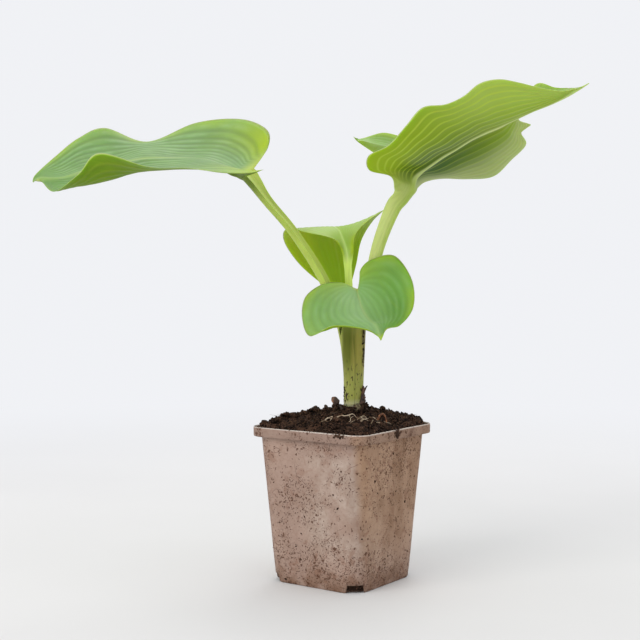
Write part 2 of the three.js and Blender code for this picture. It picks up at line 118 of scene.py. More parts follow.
# Leaves. foot: where round the stem the petiole stands, in degrees. clasp: how much wider it is
# in the stalk. lift: how far out it lies on the other petioles there. veins: side veins in each
# half. quilt: height of the swellings between them. fan: share of the half width that the veins
# fill at the base of the blade. spread: how much wider apart they are by the midrib. petiole:
# points of its centreline above the foot. widths: across the petiole, from foot to blade.
# rows: from the petiole towards the tip, each the midrib point, the left and the right margin
# point, and how far the middles of the left and right halves stand up.
LEAVES = {
    "leaf_left": {
        "foot": 160, "clasp": 0.35, "lift": 0.15,
        "veins": 8, "quilt": 0.4, "fan": 0.66, "spread": 0,
        "petiole": [
            [2.6, 1.3, 136], [-0.6, 1, 162], [-11.6, -1, 193],
            [-31, -3, 223.6], [-48, -2, 244], [-57.6, 0, 257.2],
        ],
        "widths": [4, 4.4, 5.6, 7, 6.6, 7, 9.2, 10],
        "rows": [
            [[-63, 0, 262.7], [-63.2, -5, 261.2], [-57.5, 5, 265.8], 0, 0],
            [[-70, 0, 263.4], [-50, -20, 263], [-48.9, 24, 281.8], 0, -2],
            [[-77, 0, 266.6], [-58, -36, 259.4], [-50.8, 39, 294.9], 1, -4],
            [[-89, -1, 271], [-74, -48, 258.6], [-69, 49, 303], 1, -5],
            [[-108, -3, 272], [-94, -54, 261], [-100, 54, 301], -2, -5],
            [[-130, -6, 271], [-118, -52, 262], [-133, 52, 288], -6, -3],
            [[-152, -9, 266], [-149, -44, 271], [-160, 41, 296], -9, -5],
            [[-166, -11, 262.5], [-163, -38, 259], [-176, 30, 288], -8.5, -4],
            [[-179, -13, 258.5], [-180, -29, 248.6], [-188, 16, 275], -5, -3],
            [[-192, -14, 258], [-192, -15, 257], [-196, -8, 261], 0, 0],
        ],
        "tip": [-197, -14, 255],
    },
    "leaf_right": {
        "foot": -50, "clasp": 0.25, "lift": 0,
        "veins": 8, "quilt": 0.35, "fan": 0.88, "spread": 0.45,
        "petiole": [
            [9.9, -2.9, 135], [10.3, -2.3, 160], [17, -0.5, 187],
            [22.7, 0, 214], [31.5, 0, 238], [37, 0, 247],
        ],
        "widths": [4.2, 6.4, 9, 8, 8.2, 10, 11.4, 13],
        "rows": [
            [[40, 0, 253], [45, 5, 251], [33, -5, 251], 0, 0],
            [[44, 0, 260], [49, 18, 254], [30, -14, 259], 0, 0],
            [[49, 0, 265], [56, 31, 259], [16, -26, 262], 0, 0],
            [[55, 0, 269], [68, 41, 262], [15, -36, 270], -2, -3],
            [[63, 0, 274], [86, 49, 262], [27, -42, 276], -3, -5],
            [[72, 0, 279], [104, 51, 264], [37, -46, 287], -3, -6],
            [[82, 0, 285], [116, 49, 275], [47, -48, 298], -4, -6],
            [[91, 0, 289], [125, 43, 285], [61, -48, 300], -4, -6],
            [[99, 0, 292], [121, 39, 293], [72, -47, 305], -3, -6],
            [[106, 0, 295], [126.7, 35, 297.6], [82, -45, 313], -1, -6],
            [[113, -1, 298], [115, 34, 299.6], [94, -42, 316], 1, -6],
            [[122, -1, 302], [118, 28, 309], [107, -36, 315], 1, -5],
            [[133, -3, 306], [126, 10, 321], [123, -26, 313], 0, -3],
            [[143, -4, 310.5], [137.2, 2, 317.4], [139, -13, 313], 0, -1],
            [[150.6, -6, 314.8], [149.2, -4, 316.2], [149, -8, 315.2], 0, 0],
        ],
        "tip": [158.4, -7, 320],
    },
    "leaf_back": {
        "foot": 92, "clasp": 0.3, "lift": 0.15,
        "veins": 7, "quilt": 0.25, "fan": 0.66, "spread": 0,
        "petiole": [
            [6.2, 4.5, 140], [5, 4.9, 168], [4.2, 5.6, 186],
            [3.8, 6.4, 196],
        ],
        "widths": [4, 4.2, 4.6, 4.8, 4.8, 5.2],
        "rows": [
            [[3.4, 7.2, 203], [0.9, 7.2, 203], [5.9, 7.2, 203], 0, 0],
            [[2.6, 9, 212], [-0.6, 8.4, 212], [7.2, 7, 212], 0, 0],
            [[0.6, 15, 220], [-5, 6, 220], [7.6, 4, 221], 0, 0],
            [[-2.4, 26, 227], [-22, 8, 224], [13, 4, 229], 1, 0],
            [[-6, 40, 229], [-37, 22, 227], [28, 18, 240], 1.8, -1],
            [[-5, 58, 221], [-39, 44, 219], [21, 42, 233], 2.6, 0],
            [[-2, 70, 206], [-29, 60, 204], [14, 60, 220.5], 2, 2],
            [[1, 74, 190], [-13, 68, 190], [10.5, 70, 203], 1, 1],
        ],
        "tip": [4, 72, 178],
    },
    "leaf_front": {
        "foot": -128, "clasp": 0.5, "lift": 0.3,
        "veins": 7, "quilt": 0.2, "fan": 0.66, "spread": 0,
        "petiole": [
            [3.6, -3.9, 138], [3.1, -5.2, 158], [6, -8.8, 175],
            [8.2, -12, 184],
        ],
        "widths": [4.2, 5.4, 5.6, 5.2, 5, 5.4],
        "rows": [
            [[9, -14, 188], [11, -12, 190], [6, -12, 189], 0, 0],
            [[9, -20, 185], [11, -10, 200], [-1, -7, 192], 0, 1],
            [[10, -27, 181], [18.6, -8, 207], [-13, -9, 191], -2, 1.5],
            [[11, -34, 177], [33, -10, 209], [-24, -16, 183], -3, 2],
            [[13, -41, 173], [43, -22, 194], [-26, -26, 170], -4, 2],
            [[16, -47, 169], [43, -36, 177], [-21, -36, 159], -3, 2],
            [[19, -51, 167], [34, -46, 166], [-7, -46, 166], -1, 0.5],
            [[21, -54, 163], [25.4, -52, 164.8], [12.4, -53, 164.6], 0, 0],
            [[21.8, -55, 160], [23.6, -54.6, 160.6], [19.6, -54.8, 160.4], 0, 0],
        ],
        "tip": [22, -55.6, 157],
    },
    "leaf_behind": {
        "foot": 24, "clasp": 0.3, "lift": 0.1,
        "veins": 7, "quilt": 0.35, "fan": 0.66, "spread": 0,
        "petiole": [
            [11.2, 3.3, 138], [12.4, 5.6, 165], [17, 12, 190],
            [24, 22, 214], [34, 42, 240], [43, 52, 255],
        ],
        "widths": [4, 4.2, 4.8, 5.2, 5.4, 5.6, 6, 7.5],
        "rows": [
            [[60, 60, 273], [57, 58, 270], [64, 62, 274], 0, 0],
            [[53, 62, 278], [59, 44, 265], [73, 76, 285], 0, 0],
            [[44, 66, 282], [49, 38, 268], [60, 94, 293], 2, -3],
            [[34, 72, 286], [37, 42, 272], [44, 104, 297.4], 2, -4],
            [[24, 78, 289], [26, 52, 278], [31, 104, 299.8], 1, -3],
            [[16, 84, 292], [18, 68, 285], [17.6, 96, 295.4], 0, -1],
            [[11.7, 88, 292.8], [11.6, 87.2, 291.9], [11.8, 88.8, 293.7], 0, 0],
        ],
        "tip": [9, 90, 295.6],
    },
}
# Outline of the stalk that the clasping petioles make: from left to right at its foot, how it
# spreads upwards, its middle and half depth from front to back, and where it parts.
STALK_LEFT = 0.9
STALK_RIGHT = 12.8
STALK_SPREADS_Z = 125
STALK_FLARE = 0.0031
STALK_LEAN = 0.043
STALK_Y = -0.4
STALK_DEPTH = 6.2
STALK_OPENS_Z = 163
STALK_PARTS_Z = 181
# How far the channelled upper side of a petiole lies inside that outline
SHEATH_THICKNESS = 0.6


# ---------------------------------------------------------------- numbers and curves

def spline(values, at, after=None):
    """Points at shares 0 to 1 of the smooth curve through the values; shares beyond are held at its ends.
    """
    values = np.asarray(values, float)
    if values.ndim == 1:
        return spline(values[:, None], at)[..., 0]
    tail = 2 * values[-1] - values[-2] if after is None else np.asarray(after, float)
    padded = np.concatenate([[2 * values[0] - values[1]], values, [tail]])
    place = np.clip(at, 0, 1) * (len(values) - 1)
    index = np.minimum(place.astype(int), len(values) - 2)
    w = (place - index)[..., None]
    previous, start, end, following = (padded[index + k] for k in range(4))
    leave = (end - previous) / 2
    arrive = (following - start) / 2
    return (
        (2 * w**3 - 3 * w**2 + 1) * start
        + (w**3 - 2 * w**2 + w) * leave
        + (3 * w**2 - 2 * w**3) * end
        + (w**3 - w**2) * arrive
    )


def run_along(points):
    """How far along the points each of them lies, as a column."""
    lengths = np.linalg.norm(np.diff(points, axis=0), axis=1)
    return np.concatenate([[0], np.cumsum(lengths)])[:, None]


def smoothstep(x, low, high):
    share = np.clip((x - low) / (high - low), 0, 1)
    return share * share * (3 - 2 * share)


def bell(x, width):
    return np.exp(-((x / width) ** 2))


def unit(vectors):
    length = np.linalg.norm(vectors, axis=-1, keepdims=True)
    return vectors / np.maximum(length, 1e-9)


def turned(points):
    """Points of the plant's frame, in the pot's frame."""
    cos, sin = math.cos(PLANT_TURN), math.sin(PLANT_TURN)
    turn = np.array([[cos, sin, 0], [-sin, cos, 0], [0, 0, 1]])
    return np.asarray(points, float) @ turn


def heading(angle):
    return np.array([math.cos(angle), math.sin(angle), 0])


STEM = turned([STEM_X, 0, 0])


def roughness_of(points, size, seed, octaves=3):
    """Smooth noise, about -1 to 1, at each point; size is the width of its largest bumps."""
    offset = Vector((seed * 7.3, seed * 3.1, seed * 5.7))
    return np.array([noise.fractal(Vector(p) / size + offset, 0.9, 2, octaves) for p in points])


def crumbs_of(points, size, seed):
    """Rounded lumps, 0 in the cracks between them to 1 on their tops."""
    offset = Vector((seed * 2.9, seed * 8.3, seed * 4.1))
    nearest = np.array([noise.voronoi(Vector(p) / size + offset)[0][0] for p in points])
    return 1 - np.clip(nearest / 0.75, 0, 1) ** 2


# ---------------------------------------------------------------- meshes

def linked(name, data):
    made = bpy.data.objects.new(name, data)
    bpy.context.scene.collection.objects.link(made)
    return made


def mesh_of(name, points, faces):
    """A mesh from points in millimetres."""
    mesh = bpy.data.meshes.new(name)
    mesh.from_pydata((np.asarray(points) * MM).tolist(), [], [list(face) for face in faces])
    return mesh


def mesh_piece(name, points, faces, slot, skin=None, nodes=(), attributes=None):
    """A smooth piece from points in millimetres, riding on the part and standing for CAD nodes."""
    mesh = mesh_of(name, points, faces)
    mesh.validate()
    mesh.polygons.foreach_set("use_smooth", [True] * len(mesh.polygons))
    for key, values in (attributes or {}).items():
        values = np.asarray(values, np.float32)
        kind = "FLOAT_VECTOR" if values.ndim == 2 else "FLOAT"
        attribute = mesh.attributes.new(key, kind, "POINT")
        attribute.data.foreach_set("vector" if values.ndim == 2 else "value", values.ravel())
    if skin:
        mesh.materials.append(skin)
    piece = linked(name, mesh)
    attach(piece, "root")
    if nodes:
        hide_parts(*nodes)
    return piece


def loft_faces(rings, points_a_ring):
    """Faces of a closed loft through rings of points, capped at both ends."""
    faces = []
    for ring in range(rings - 1):
        first = ring * points_a_ring
        for k in range(points_a_ring):
            after = (k + 1) % points_a_ring
            above = first + points_a_ring
            faces.append((first + k, first + after, above + after, above + k))
    faces.append(tuple(range(points_a_ring))[::-1])
    last = (rings - 1) * points_a_ring
    faces.append(tuple(range(last, last + points_a_ring)))
    return faces


def loft_piece(name, grid, slot, skin, node, attributes=None):
    """A closed loft through a grid of rings, given in the plant's frame."""
    points = turned(grid.reshape(-1, 3))
    mesh_piece(name, points, loft_faces(*grid.shape[:2]), slot, skin, [node], attributes)


def square_ring(half, corner, z, corner_steps, side_steps):
    """A square with round corners, counterclockwise from above."""
    points = []
    for quarter in range(4):
        middle = (quarter + 0.5) * math.pi / 2
        centre_x = math.copysign(half - corner, math.cos(middle))
        centre_y = math.copysign(half - corner, math.sin(middle))
        for step in range(corner_steps + 1):
            angle = (quarter + step / corner_steps) * math.pi / 2
            x = centre_x + corner * math.cos(angle)
            y = centre_y + corner * math.sin(angle)
            points.append((x, y, z))
        side_angle = (quarter + 1) * math.pi / 2
        run = 2 * (half - corner) / side_steps
        start = points[-1]
        for step in range(1, side_steps):
            x = start[0] - math.sin(side_angle) * run * step
            y = start[1] + math.cos(side_angle) * run * step
            points.append((x, y, z))
    return points


def lump_shape(detail):
    """Points and faces of a unit ball."""
    ball = bmesh.new()
    bmesh.ops.create_icosphere(ball, subdivisions=detail, radius=1)
    points = np.array([vertex.co[:] for vertex in ball.verts])
    faces = np.array([[vertex.index for vertex in face.verts] for face in ball.faces])
    ball.free()
    return points, faces


def lumps(places, detail, seed):
    """Many small irregular lumps as points and faces. A place is centre, normal, radius, flatness."""
    dice = np.random.default_rng(seed)
    ball, ball_faces = lump_shape(detail)
    all_points, all_faces = [], []
    for index, (centre, normal, radius, flatness) in enumerate(places):
        bulge = 1 + 0.28 * dice.standard_normal(len(ball)).clip(-1.6, 1.6)[:, None]
        stretch = np.array([dice.uniform(0.7, 1.4), dice.uniform(0.7, 1.1), flatness])
        shape = ball * bulge * stretch * radius
        spin = Matrix.Rotation(dice.uniform(0, 2 * math.pi), 3, "Z")
        tilt = Vector(normal).to_track_quat("Z", "Y").to_matrix() @ spin
        all_points.append(shape @ np.array(tilt).T + centre)
        all_faces.append(ball_faces + index * len(ball))
    return np.concatenate(all_points), np.concatenate(all_faces)


def tubes(paths, sides):
    """Tapered tubes as points and faces. A path is its points, radius at the start and at the end."""
    all_points, all_faces = [], []
    count = 0
    for path, thick, thin in paths:
        steps = max(6, 4 * len(path))
        at = np.linspace(0, 1, steps)
        centres = spline(path, at)
        along = unit(np.gradient(centres, axis=0))
        helper = np.where(np.abs(along[:, 2:]) < 0.9, [[0, 0, 1.0]], [[1.0, 0, 0]])
        across = unit(np.cross(along, helper))
        up = np.cross(along, across)
        angle = np.linspace(0, 2 * math.pi, sides, endpoint=False)
        radius = (thick + (thin - thick) * at)[:, None, None]
        ring = np.cos(angle)[None, :, None] * across[:, None] + np.sin(angle)[None, :, None] * up[:, None]
        all_points.append((centres[:, None] + radius * ring).reshape(-1, 3))
        all_faces += [tuple(count + k for k in face) for face in loft_faces(steps, sides)]
        count += steps * sides
    return np.concatenate(all_points), all_faces


# ---------------------------------------------------------------- materials

class Shader:
    """A material's nodes. Each call adds one and returns the socket to link on."""

    def __init__(self, name):
        self.material = bpy.data.materials.new(name)
        self.material.use_nodes = True
        self.tree = self.material.node_tree
        self.surface = self.tree.nodes["Principled BSDF"]
        self.place = self.node("TexCoord", "Object")

    def feed(self, socket, value):
        if isinstance(value, bpy.types.NodeSocket):
            self.tree.links.new(value, socket)
        elif isinstance(value, (tuple, list)) and len(value) == 3 and socket.type == "RGBA":
            socket.default_value = (*value, 1)
        else:
            socket.default_value = value

    def node(self, kind, output, inputs=None, **settings):
        made = self.tree.nodes.new("ShaderNode" + kind)
        for key, value in settings.items():
            setattr(made, key, value)
        for key, value in (inputs or {}).items():
            self.feed(made.inputs[key], value)
        return made.outputs[output]

    def attribute(self, name, output="Fac"):
        return self.node("Attribute", output, attribute_name=name)

    def axis(self, name, vector=None):
        return self.node("SeparateXYZ", name, {0: vector or self.place})

    def stretched(self, vector, scale):
        return self.node("Mapping", "Vector", {"Vector": vector, "Scale": scale})

    def noise(self, scale, detail=2.0, vector=None, distortion=0.0, output="Fac"):
        inputs = {"Scale": scale, "Detail": detail, "Distortion": distortion}
        return self.node("TexNoise", output, {"Vector": vector or self.place, **inputs})

    def cells(self, scale, vector=None, output="Distance"):
        return self.node("TexVoronoi", output, {"Vector": vector or self.place, "Scale": scale})

    def span(self, value, low, high, to_low=0.0, to_high=1.0):
        """Runs smoothly from to_low at low to to_high at high."""
        inputs = {"Value": value, "From Min": low, "From Max": high, "To Min": to_low, "To Max": to_high}
        return self.node("MapRange", "Result", inputs, interpolation_type="SMOOTHSTEP")

    def math(self, operation, first, *others):
        for other in others or [0.0]:
            first = self.node("Math", 0, {0: first, 1: other}, operation=operation)
        return first

    def times(self, *factors):
        return self.math("MULTIPLY", *factors)

    def plus(self, *terms):
        return self.math("ADD", *terms)

    def most(self, *values):
        return self.math("MAXIMUM", *values)

    def mix(self, share, a, b, blend="MIX"):
        return self.node("Mix", 2, {0: share, 6: a, 7: b}, data_type="RGBA", blend_type=blend)

    def painted(self, base, *coats):
        """The base under coats of colour, each given as its share and its colour."""
        for share, colour in coats:
            base = self.mix(share, base, colour)
        return base

    def shade(self, base, colour):
        return self.mix(1.0, base, colour, "MULTIPLY")

    def bump(self, height, distance, strength=1.0, normal=None):
        inputs = {"Strength": strength, "Distance": distance, "Height": height}
        if normal is not None:
            inputs["Normal"] = normal
        return self.node("Bump", "Normal", inputs)

    def finish(self, **inputs):
        """Sets the surface's inputs, named with _ for a space, and returns the material."""
        for key, value in inputs.items():
            self.feed(self.surface.inputs[key.replace("_", " ")], value)
        return self.material


def tinted(colour, share):
    return tuple(share * channel for channel in colour)


def pot_specks(s, warped, crowd):
    """Splashed specks and dashes of compost in several sizes."""
    specks = s.times(s.span(s.noise(1300, 4), 0.6, 0.66), s.span(crowd, 0.2, 1.0))
    for scale, reach, share in ((760, 0.4, 0.74), (430, 0.34, 0.72), (230, 0.27, 0.8), (120, 0.17, 0.84)):
        near = s.cells(scale, warped)
        kind = s.node("SeparateColor", "Red", {0: s.cells(scale, warped, "Color")})
        chance = s.plus(kind, s.times(crowd, 0.3))
        size = s.times(s.span(chance, share, share + 0.35), reach)
        specks = s.most(specks, s.span(s.math("SUBTRACT", size, near), 0.0, 0.08))
    return specks


def pot_warp(s):
    """The place, shaken so that round cells become ragged, slightly drawn out marks."""
    drift = s.noise(330, 4, output="Color")
    shift = s.node("VectorMath", 0, {0: drift, "Scale": 0.0065}, operation="SCALE")
    return s.node("VectorMath", 0, {0: s.place, 1: shift}, operation="ADD")


# Colours of the pot: its plastic, the dried compost on it, and painted light: highlights by the
# near corner and on the rim's lip, a shadow under the rim, and shade on the right face
TAUPE = [(0.345, 0.235, 0.185), (0.41, 0.285, 0.225)]
TAUPE_HIGHLIGHT = (0.48, 0.38, 0.315)
TAUPE_GRAIN = (0.27, 0.175, 0.13)
UNDER_RIM_SHADOW = (0.2, 0.13, 0.1)
RIM_LIP_HIGHLIGHT = (0.75, 0.68, 0.62)
RIGHT_FACE_SHADE = (0.43, 0.255, 0.14)
DIRT_FILM = (0.17, 0.085, 0.045)
DIRT_SMEARS = (0.2, 0.085, 0.045)
DIRT_RUNS = (0.2, 0.1, 0.045)
DIRT_FOOT = (0.16, 0.075, 0.035)
DIRT_SPECKS = (0.085, 0.033, 0.016)


def pot_plastic():
    """Taupe plastic with splashes, specks, scratches, a film of dried compost, and painted light and
    shade.
    """
    s = Shader("pot_plastic")
    x, height = s.axis("X"), s.axis("Z")
    right_face = s.span(x, 0.033, 0.0385)
    # More dirt low down, on the right face and at the far left, where it also stands for painted shade
    dirt_and_shade = s.most(s.span(height, 0.045, 0.0), right_face, s.span(x, -0.026, -0.035))
    # Painted highlight: a lighter vertical zone beside the near corner, with fewer specks there
    corner_highlight = s.times(
        s.span(x, -0.012, 0.012), s.span(x, 0.042, 0.035), s.span(height, 0.094, 0.08),
        s.span(height, 0.01, 0.04), s.span(s.noise(40, 3), 0.3, 0.6),
    )

    film = s.plus(0.2, s.times(dirt_and_shade, 0.25))
    stained = s.times(s.span(s.noise(70, 6, distortion=0.6), 0.38, 0.72), film)
    smears = s.times(s.span(s.noise(210, 5, distortion=0.8), 0.5, 0.68), s.plus(0.08, film))
    runs = s.span(s.noise(1, 4, s.stretched(s.place, (90, 90, 14))), 0.4, 0.7)
    foot = s.times(s.span(height, 0.016, 0.002), s.span(s.noise(90, 4), 0.35, 0.6))
    base = s.painted(
        s.mix(s.span(s.noise(22, 4), 0.3, 0.7), *TAUPE),
        (s.times(corner_highlight, 0.9), TAUPE_HIGHLIGHT),
        (s.span(s.noise(420, 4), 0.35, 0.65, 0.0, 0.25), TAUPE_GRAIN),
        # Painted shade: a warmer, browner tint over the right face
        (s.times(right_face, 0.7), RIGHT_FACE_SHADE),
        (stained, DIRT_FILM),
        (smears, DIRT_SMEARS),
        (s.times(runs, s.plus(0.08, s.times(right_face, 0.45))), DIRT_RUNS),
        (s.times(foot, 0.6), DIRT_FOOT),
        # Painted shadow: a dark band just under the rim
        (s.times(s.span(height, 0.0925, 0.094), 0.42), UNDER_RIM_SHADOW),
        # Painted highlight: a pale line along the rim's top lip
        (s.times(s.span(height, 0.0991, 0.0997), 0.6), RIM_LIP_HIGHLIGHT),
    )

    crowd = s.plus(s.span(s.noise(34, 4), 0.32, 0.66), s.times(dirt_and_shade, 0.5))
    crowd = s.math("SUBTRACT", crowd, s.times(corner_highlight, 0.45))
    specks = pot_specks(s, pot_warp(s), crowd)
    lines = s.math("ABSOLUTE", s.math("SUBTRACT", s.noise(26, 3, distortion=1.6), 0.5))
    lines = s.times(s.span(lines, 0.006, 0.001), s.span(s.noise(60, 3), 0.52, 0.62))
    specks = s.most(specks, s.times(lines, 0.7))
    colour = s.mix(s.times(specks, 0.84), base, DIRT_SPECKS)
    relief = s.bump(specks, 0.00025, 0.8, s.bump(s.noise(2600, 2), 0.00003, 0.6))
    rough = s.plus(0.52, s.times(s.most(specks, stained), 0.35))
    return s.finish(Base_Color=colour, Roughness=rough, Specular_IOR_Level=0.3, Normal=relief)


def compost(name, dark, light):
    """Dark moist peat with paler fibres and dry faces."""
    s = Shader(name)
    fine = s.noise(1400, 4)
    colour = s.painted(
        dark,
        (s.span(s.noise(190, 5), 0.36, 0.66), light),
        (s.span(fine, 0.55, 0.75), tinted(light, 3.4)),
        (s.span(s.cells(520), 0.5, 0.2), tinted(dark, 0.5)),
    )
    relief = s.bump(fine, 0.0005, 1.0, s.bump(s.noise(4200, 3), 0.00015, 0.8))
    return s.finish(Base_Color=colour, Roughness=0.95, Specular_IOR_Level=0.12, Normal=relief)


def root_skin(name, pale, dark):
    """Dry fibrous skin, streaked and stained along its length."""
    s = Shader(name)
    fibres = s.noise(2600, 3)
    colour = s.mix(s.span(s.noise(420, 5), 0.4, 0.65), pale, dark)
    colour = s.mix(s.times(fibres, 0.5), colour, tinted(dark, 0.4))
    return s.finish(Base_Color=colour, Roughness=0.75, Normal=s.bump(fibres, 0.0002, 0.8))


# Colours and shades that the leaves share. A shade is multiplied into the colour under it.
LEAF_FRESH = (0.34, 0.45, 0.002)
BLOOM_HIGHLIGHT = (0.36, 0.5, 0.3)
EDGE_BACKLIGHT = (0.5, 0.6, 0.25)
RIB_TOP = (0.46, 0.6, 0.3)
CLOUD_SHADE = (0.82, 0.82, 0.82)
VEIN_BELOW = (0.48, 0.58, 0.05)
KEEL = (0.6, 0.7, 0.26)
CREST = (0.44, 0.53, 0.12)
HOLLOW_SHADE = (0.12, 0.25, 0.1)
TIP_SHADE = (0.64, 0.75, 0.42)
ROD_STREAK = (0.6, 0.66, 0.5)
STALK_STRIP = (0.42, 0.46, 0.1)
STALK_DARK = (0.16, 0.18, 0.014)
STALK_LIGHT = (0.36, 0.32, 0.06)
STALK_FOOT = (0.33, 0.34, 0.075)
STALK_WHITE = (0.5, 0.48, 0.28)
STAIN = (0.035, 0.021, 0.008)

# Finish of the leaves. Shares: how clear the veins are above, as painted shade in their grooves and
# painted highlight between them, and below; the midrib above and below, the pale crest of the
# underside, the painted shade under the joint, the fresh base lobes, the shade and the freshness of
# the tip, the pale waxy tone and painted sheen by the midrib, and the gloss.
FINISH = {
    "above": 0.25, "below": 0.3, "midrib": 0.85, "keel": 0.6, "crest": 0,
    "joint": 0.2, "fresh": 0.9, "tip": 0, "point": 0, "pale": 0, "gloss": 0.22,
}
# What differs on each leaf. Colours: the left and right half of its upper side, its underside
# and the outer part of the underside's left half, and its petiole and the flush on one side of it.
SKINS = {
    "leaf_left": {
        "top": [(0.195, 0.335, 0.115), (0.2, 0.34, 0.12)],
        # Its underside is darkened to paint the shade that falls on it from above
        "under": [(0.14, 0.23, 0.003), (0.14, 0.23, 0.003)],
        "petiole": [(0.46, 0.58, 0.1), (0.42, 0.52, 0.09)],
        "above": 0.28, "joint": 0.85, "tip": 0.9,
    },
    "leaf_right": {
        "top": [(0.34, 0.45, 0.13), (0.2, 0.36, 0.11)],
        # The outer part of its underside's left half is greyer: a painted sheen at a grazing angle
        "under": [(0.25, 0.35, 0.006), (0.35, 0.4, 0.138)],
        "petiole": [(0.44, 0.57, 0.11), (0.47, 0.55, 0.17)],
        "below": 0.62, "keel": 0.9, "crest": 0.6,
    },
    "leaf_back": {
        "top": [(0.33, 0.48, 0.07), (0.33, 0.49, 0.08)],
        # Its underside is lighter, painting the light that shines through it from behind
        "under": [(0.27, 0.375, 0.005), (0.36, 0.45, 0.005)],
        "petiole": [(0.6, 0.76, 0.16), (0.6, 0.76, 0.16)],
        "above": 0.12, "below": 0.08, "keel": 0.05, "joint": 0.1,
    },
    "leaf_front": {
        "top": [(0.135, 0.305, 0.05), (0.19, 0.355, 0.1)],
        "under": [(0.24, 0.36, 0.02), (0.24, 0.36, 0.02)],
        "petiole": [(0.38, 0.46, 0.1), (0.38, 0.46, 0.1)],
        "above": 0.12, "midrib": 0.5, "fresh": 0.4, "point": 0.75, "pale": 0.22,
    },
    "leaf_behind": {
        "top": [(0.17, 0.28, 0.003), (0.25, 0.4, 0.1)],
        "under": [(0.22, 0.33, 0.01), (0.22, 0.33, 0.01)],
        "petiole": [(0.44, 0.56, 0.1), (0.44, 0.56, 0.1)],
        "above": 0.15, "gloss": 0.06,
    },
}


def upper_skin(s, skin, marks, off_rib, vein_show, clouds):
    """Glaucous green with a fresher margin, painted shade in the vein grooves and highlight between."""
    edge, along = marks["edge"], marks["along"]
    left, right = skin["top"]
    base = s.mix(s.span(marks["half"], -0.3, 0.3), left, right)
    base = s.mix(s.span(clouds, 0.3, 0.7), base, s.shade(base, CLOUD_SHADE))
    base = s.mix(s.span(along, 0.66, 1.0, 0, skin["tip"]), base, s.shade(base, TIP_SHADE))
    # Painted highlight: paler glaucous bands on the swellings between the veins
    bloom_highlight = s.times(s.span(off_rib, 0.15, 0.5), s.span(s.noise(90, 3), 0.35, 0.65), skin["above"])
    # Painted sheen: paler towards the midrib, on leaves with a pale share
    base = s.mix(s.span(edge, 0.75, 0.15, 0, skin["pale"]), base, BLOOM_HIGHLIGHT)
    upper = s.mix(bloom_highlight, base, BLOOM_HIGHLIGHT)
    lobe = s.times(s.span(edge, 0.3, 0.9), s.span(along, 0.42, 0.12, 0, skin["fresh"]))
    lobe = s.times(lobe, s.span(along, 0.02, 0.14, 0.35, 1))
    point = s.times(s.span(along, 0.8, 0.94), skin["point"])
    rim = s.times(s.span(edge, 0.76, 1.0), s.span(s.noise(50, 2), 0.3, 0.7, 0.15, 0.5))
    upper = s.mix(s.most(lobe, point, rim), upper, LEAF_FRESH)
    # Painted shade: darker along the vein grooves
    vein_groove_shade = s.times(s.span(off_rib, 0.36, 0.0), vein_show, skin["above"])
    upper = s.mix(vein_groove_shade, upper, tinted(left, 0.45))
    rib_colour = s.mix(0.5, skin["petiole"][0], RIB_TOP)
    return s.mix(s.times(marks["midrib"], skin["midrib"]), upper, rib_colour)


def lower_skin(s, skin, marks, from_rib, vein_show):
    """Yellow-green with pale veins and midrib, and painted shade in the hollow by the petiole."""
    half, edge, along = marks["half"], marks["edge"], marks["along"]
    inner, far = skin["under"]
    outer = s.times(s.span(half, 0, -1), s.span(edge, 0.3, 0.6))
    high = s.times(s.span(along, 0.3, 0.6), s.span(edge, 0.2, 0.85), skin["crest"])
    # Painted shade: darker in the hollow near the petiole, by the midrib
    hollow = s.times(s.span(edge, 0.9, 0.2), s.span(along, 0.68, 0.18), s.span(half, -1, 1, 1.0, 0.8))
    lobe = s.times(s.span(edge, 0.35, 0.9), s.span(along, 0.42, 0.08), s.span(half, -1, 0, 0.2, 0.9))
    vein = s.times(s.span(from_rib, 1.0, 0.2), vein_show, s.span(half, -1, 0, 0.4, 1.0), skin["below"])
    return s.painted(
        inner,
        (outer, far),
        (high, CREST),
        (hollow, s.shade(inner, HOLLOW_SHADE)),
        (lobe, LEAF_FRESH),
        (vein, VEIN_BELOW),
        (s.span(marks["midrib"], 0.04, 0.5, 0, skin["keel"]), KEEL),
    )


def petiole_skin(s, skin, height, streaks):
    """Streaked petiole that pales towards its foot, with stains low on the stalk."""
    body, flush = skin["petiole"]
    aside = s.attribute("aside")
    foot = s.painted(
        STALK_STRIP,
        (s.span(aside, -1.6, 0.4), STALK_DARK),
        (s.span(aside, 4.6, 8), STALK_LIGHT),
    )
    rod = s.painted(
        body,
        (s.span(s.attribute("round"), 0.0, 0.6), flush),
        (s.span(height, 0.18, 0.155), foot),
        (s.span(height, 0.146, 0.125), STALK_FOOT),
        (s.span(height, 0.118, 0.112), STALK_WHITE),
    )
    rod = s.mix(s.span(streaks, 0.45, 0.7, 0, 0.35), rod, s.shade(rod, ROD_STREAK))
    marks = s.noise(1, 4, s.stretched(s.place, (520, 520, 260)), distortion=0.5)
    stain = s.times(s.span(marks, 0.59, 0.63), s.span(height, 0.15, 0.125))
    ragged = s.plus(aside, s.times(s.noise(1, 4, s.stretched(s.place, (400, 400, 200))), 3))
    window = s.times(s.span(height, 0.13, 0.144), s.span(height, 0.176, 0.165))
    strip = s.times(s.span(ragged, 11.8, 13.6, 0, 0.85), window, s.span(marks, 0.42, 0.56, 0.25, 1.0))
    return s.mix(s.most(stain, strip), rod, STAIN)


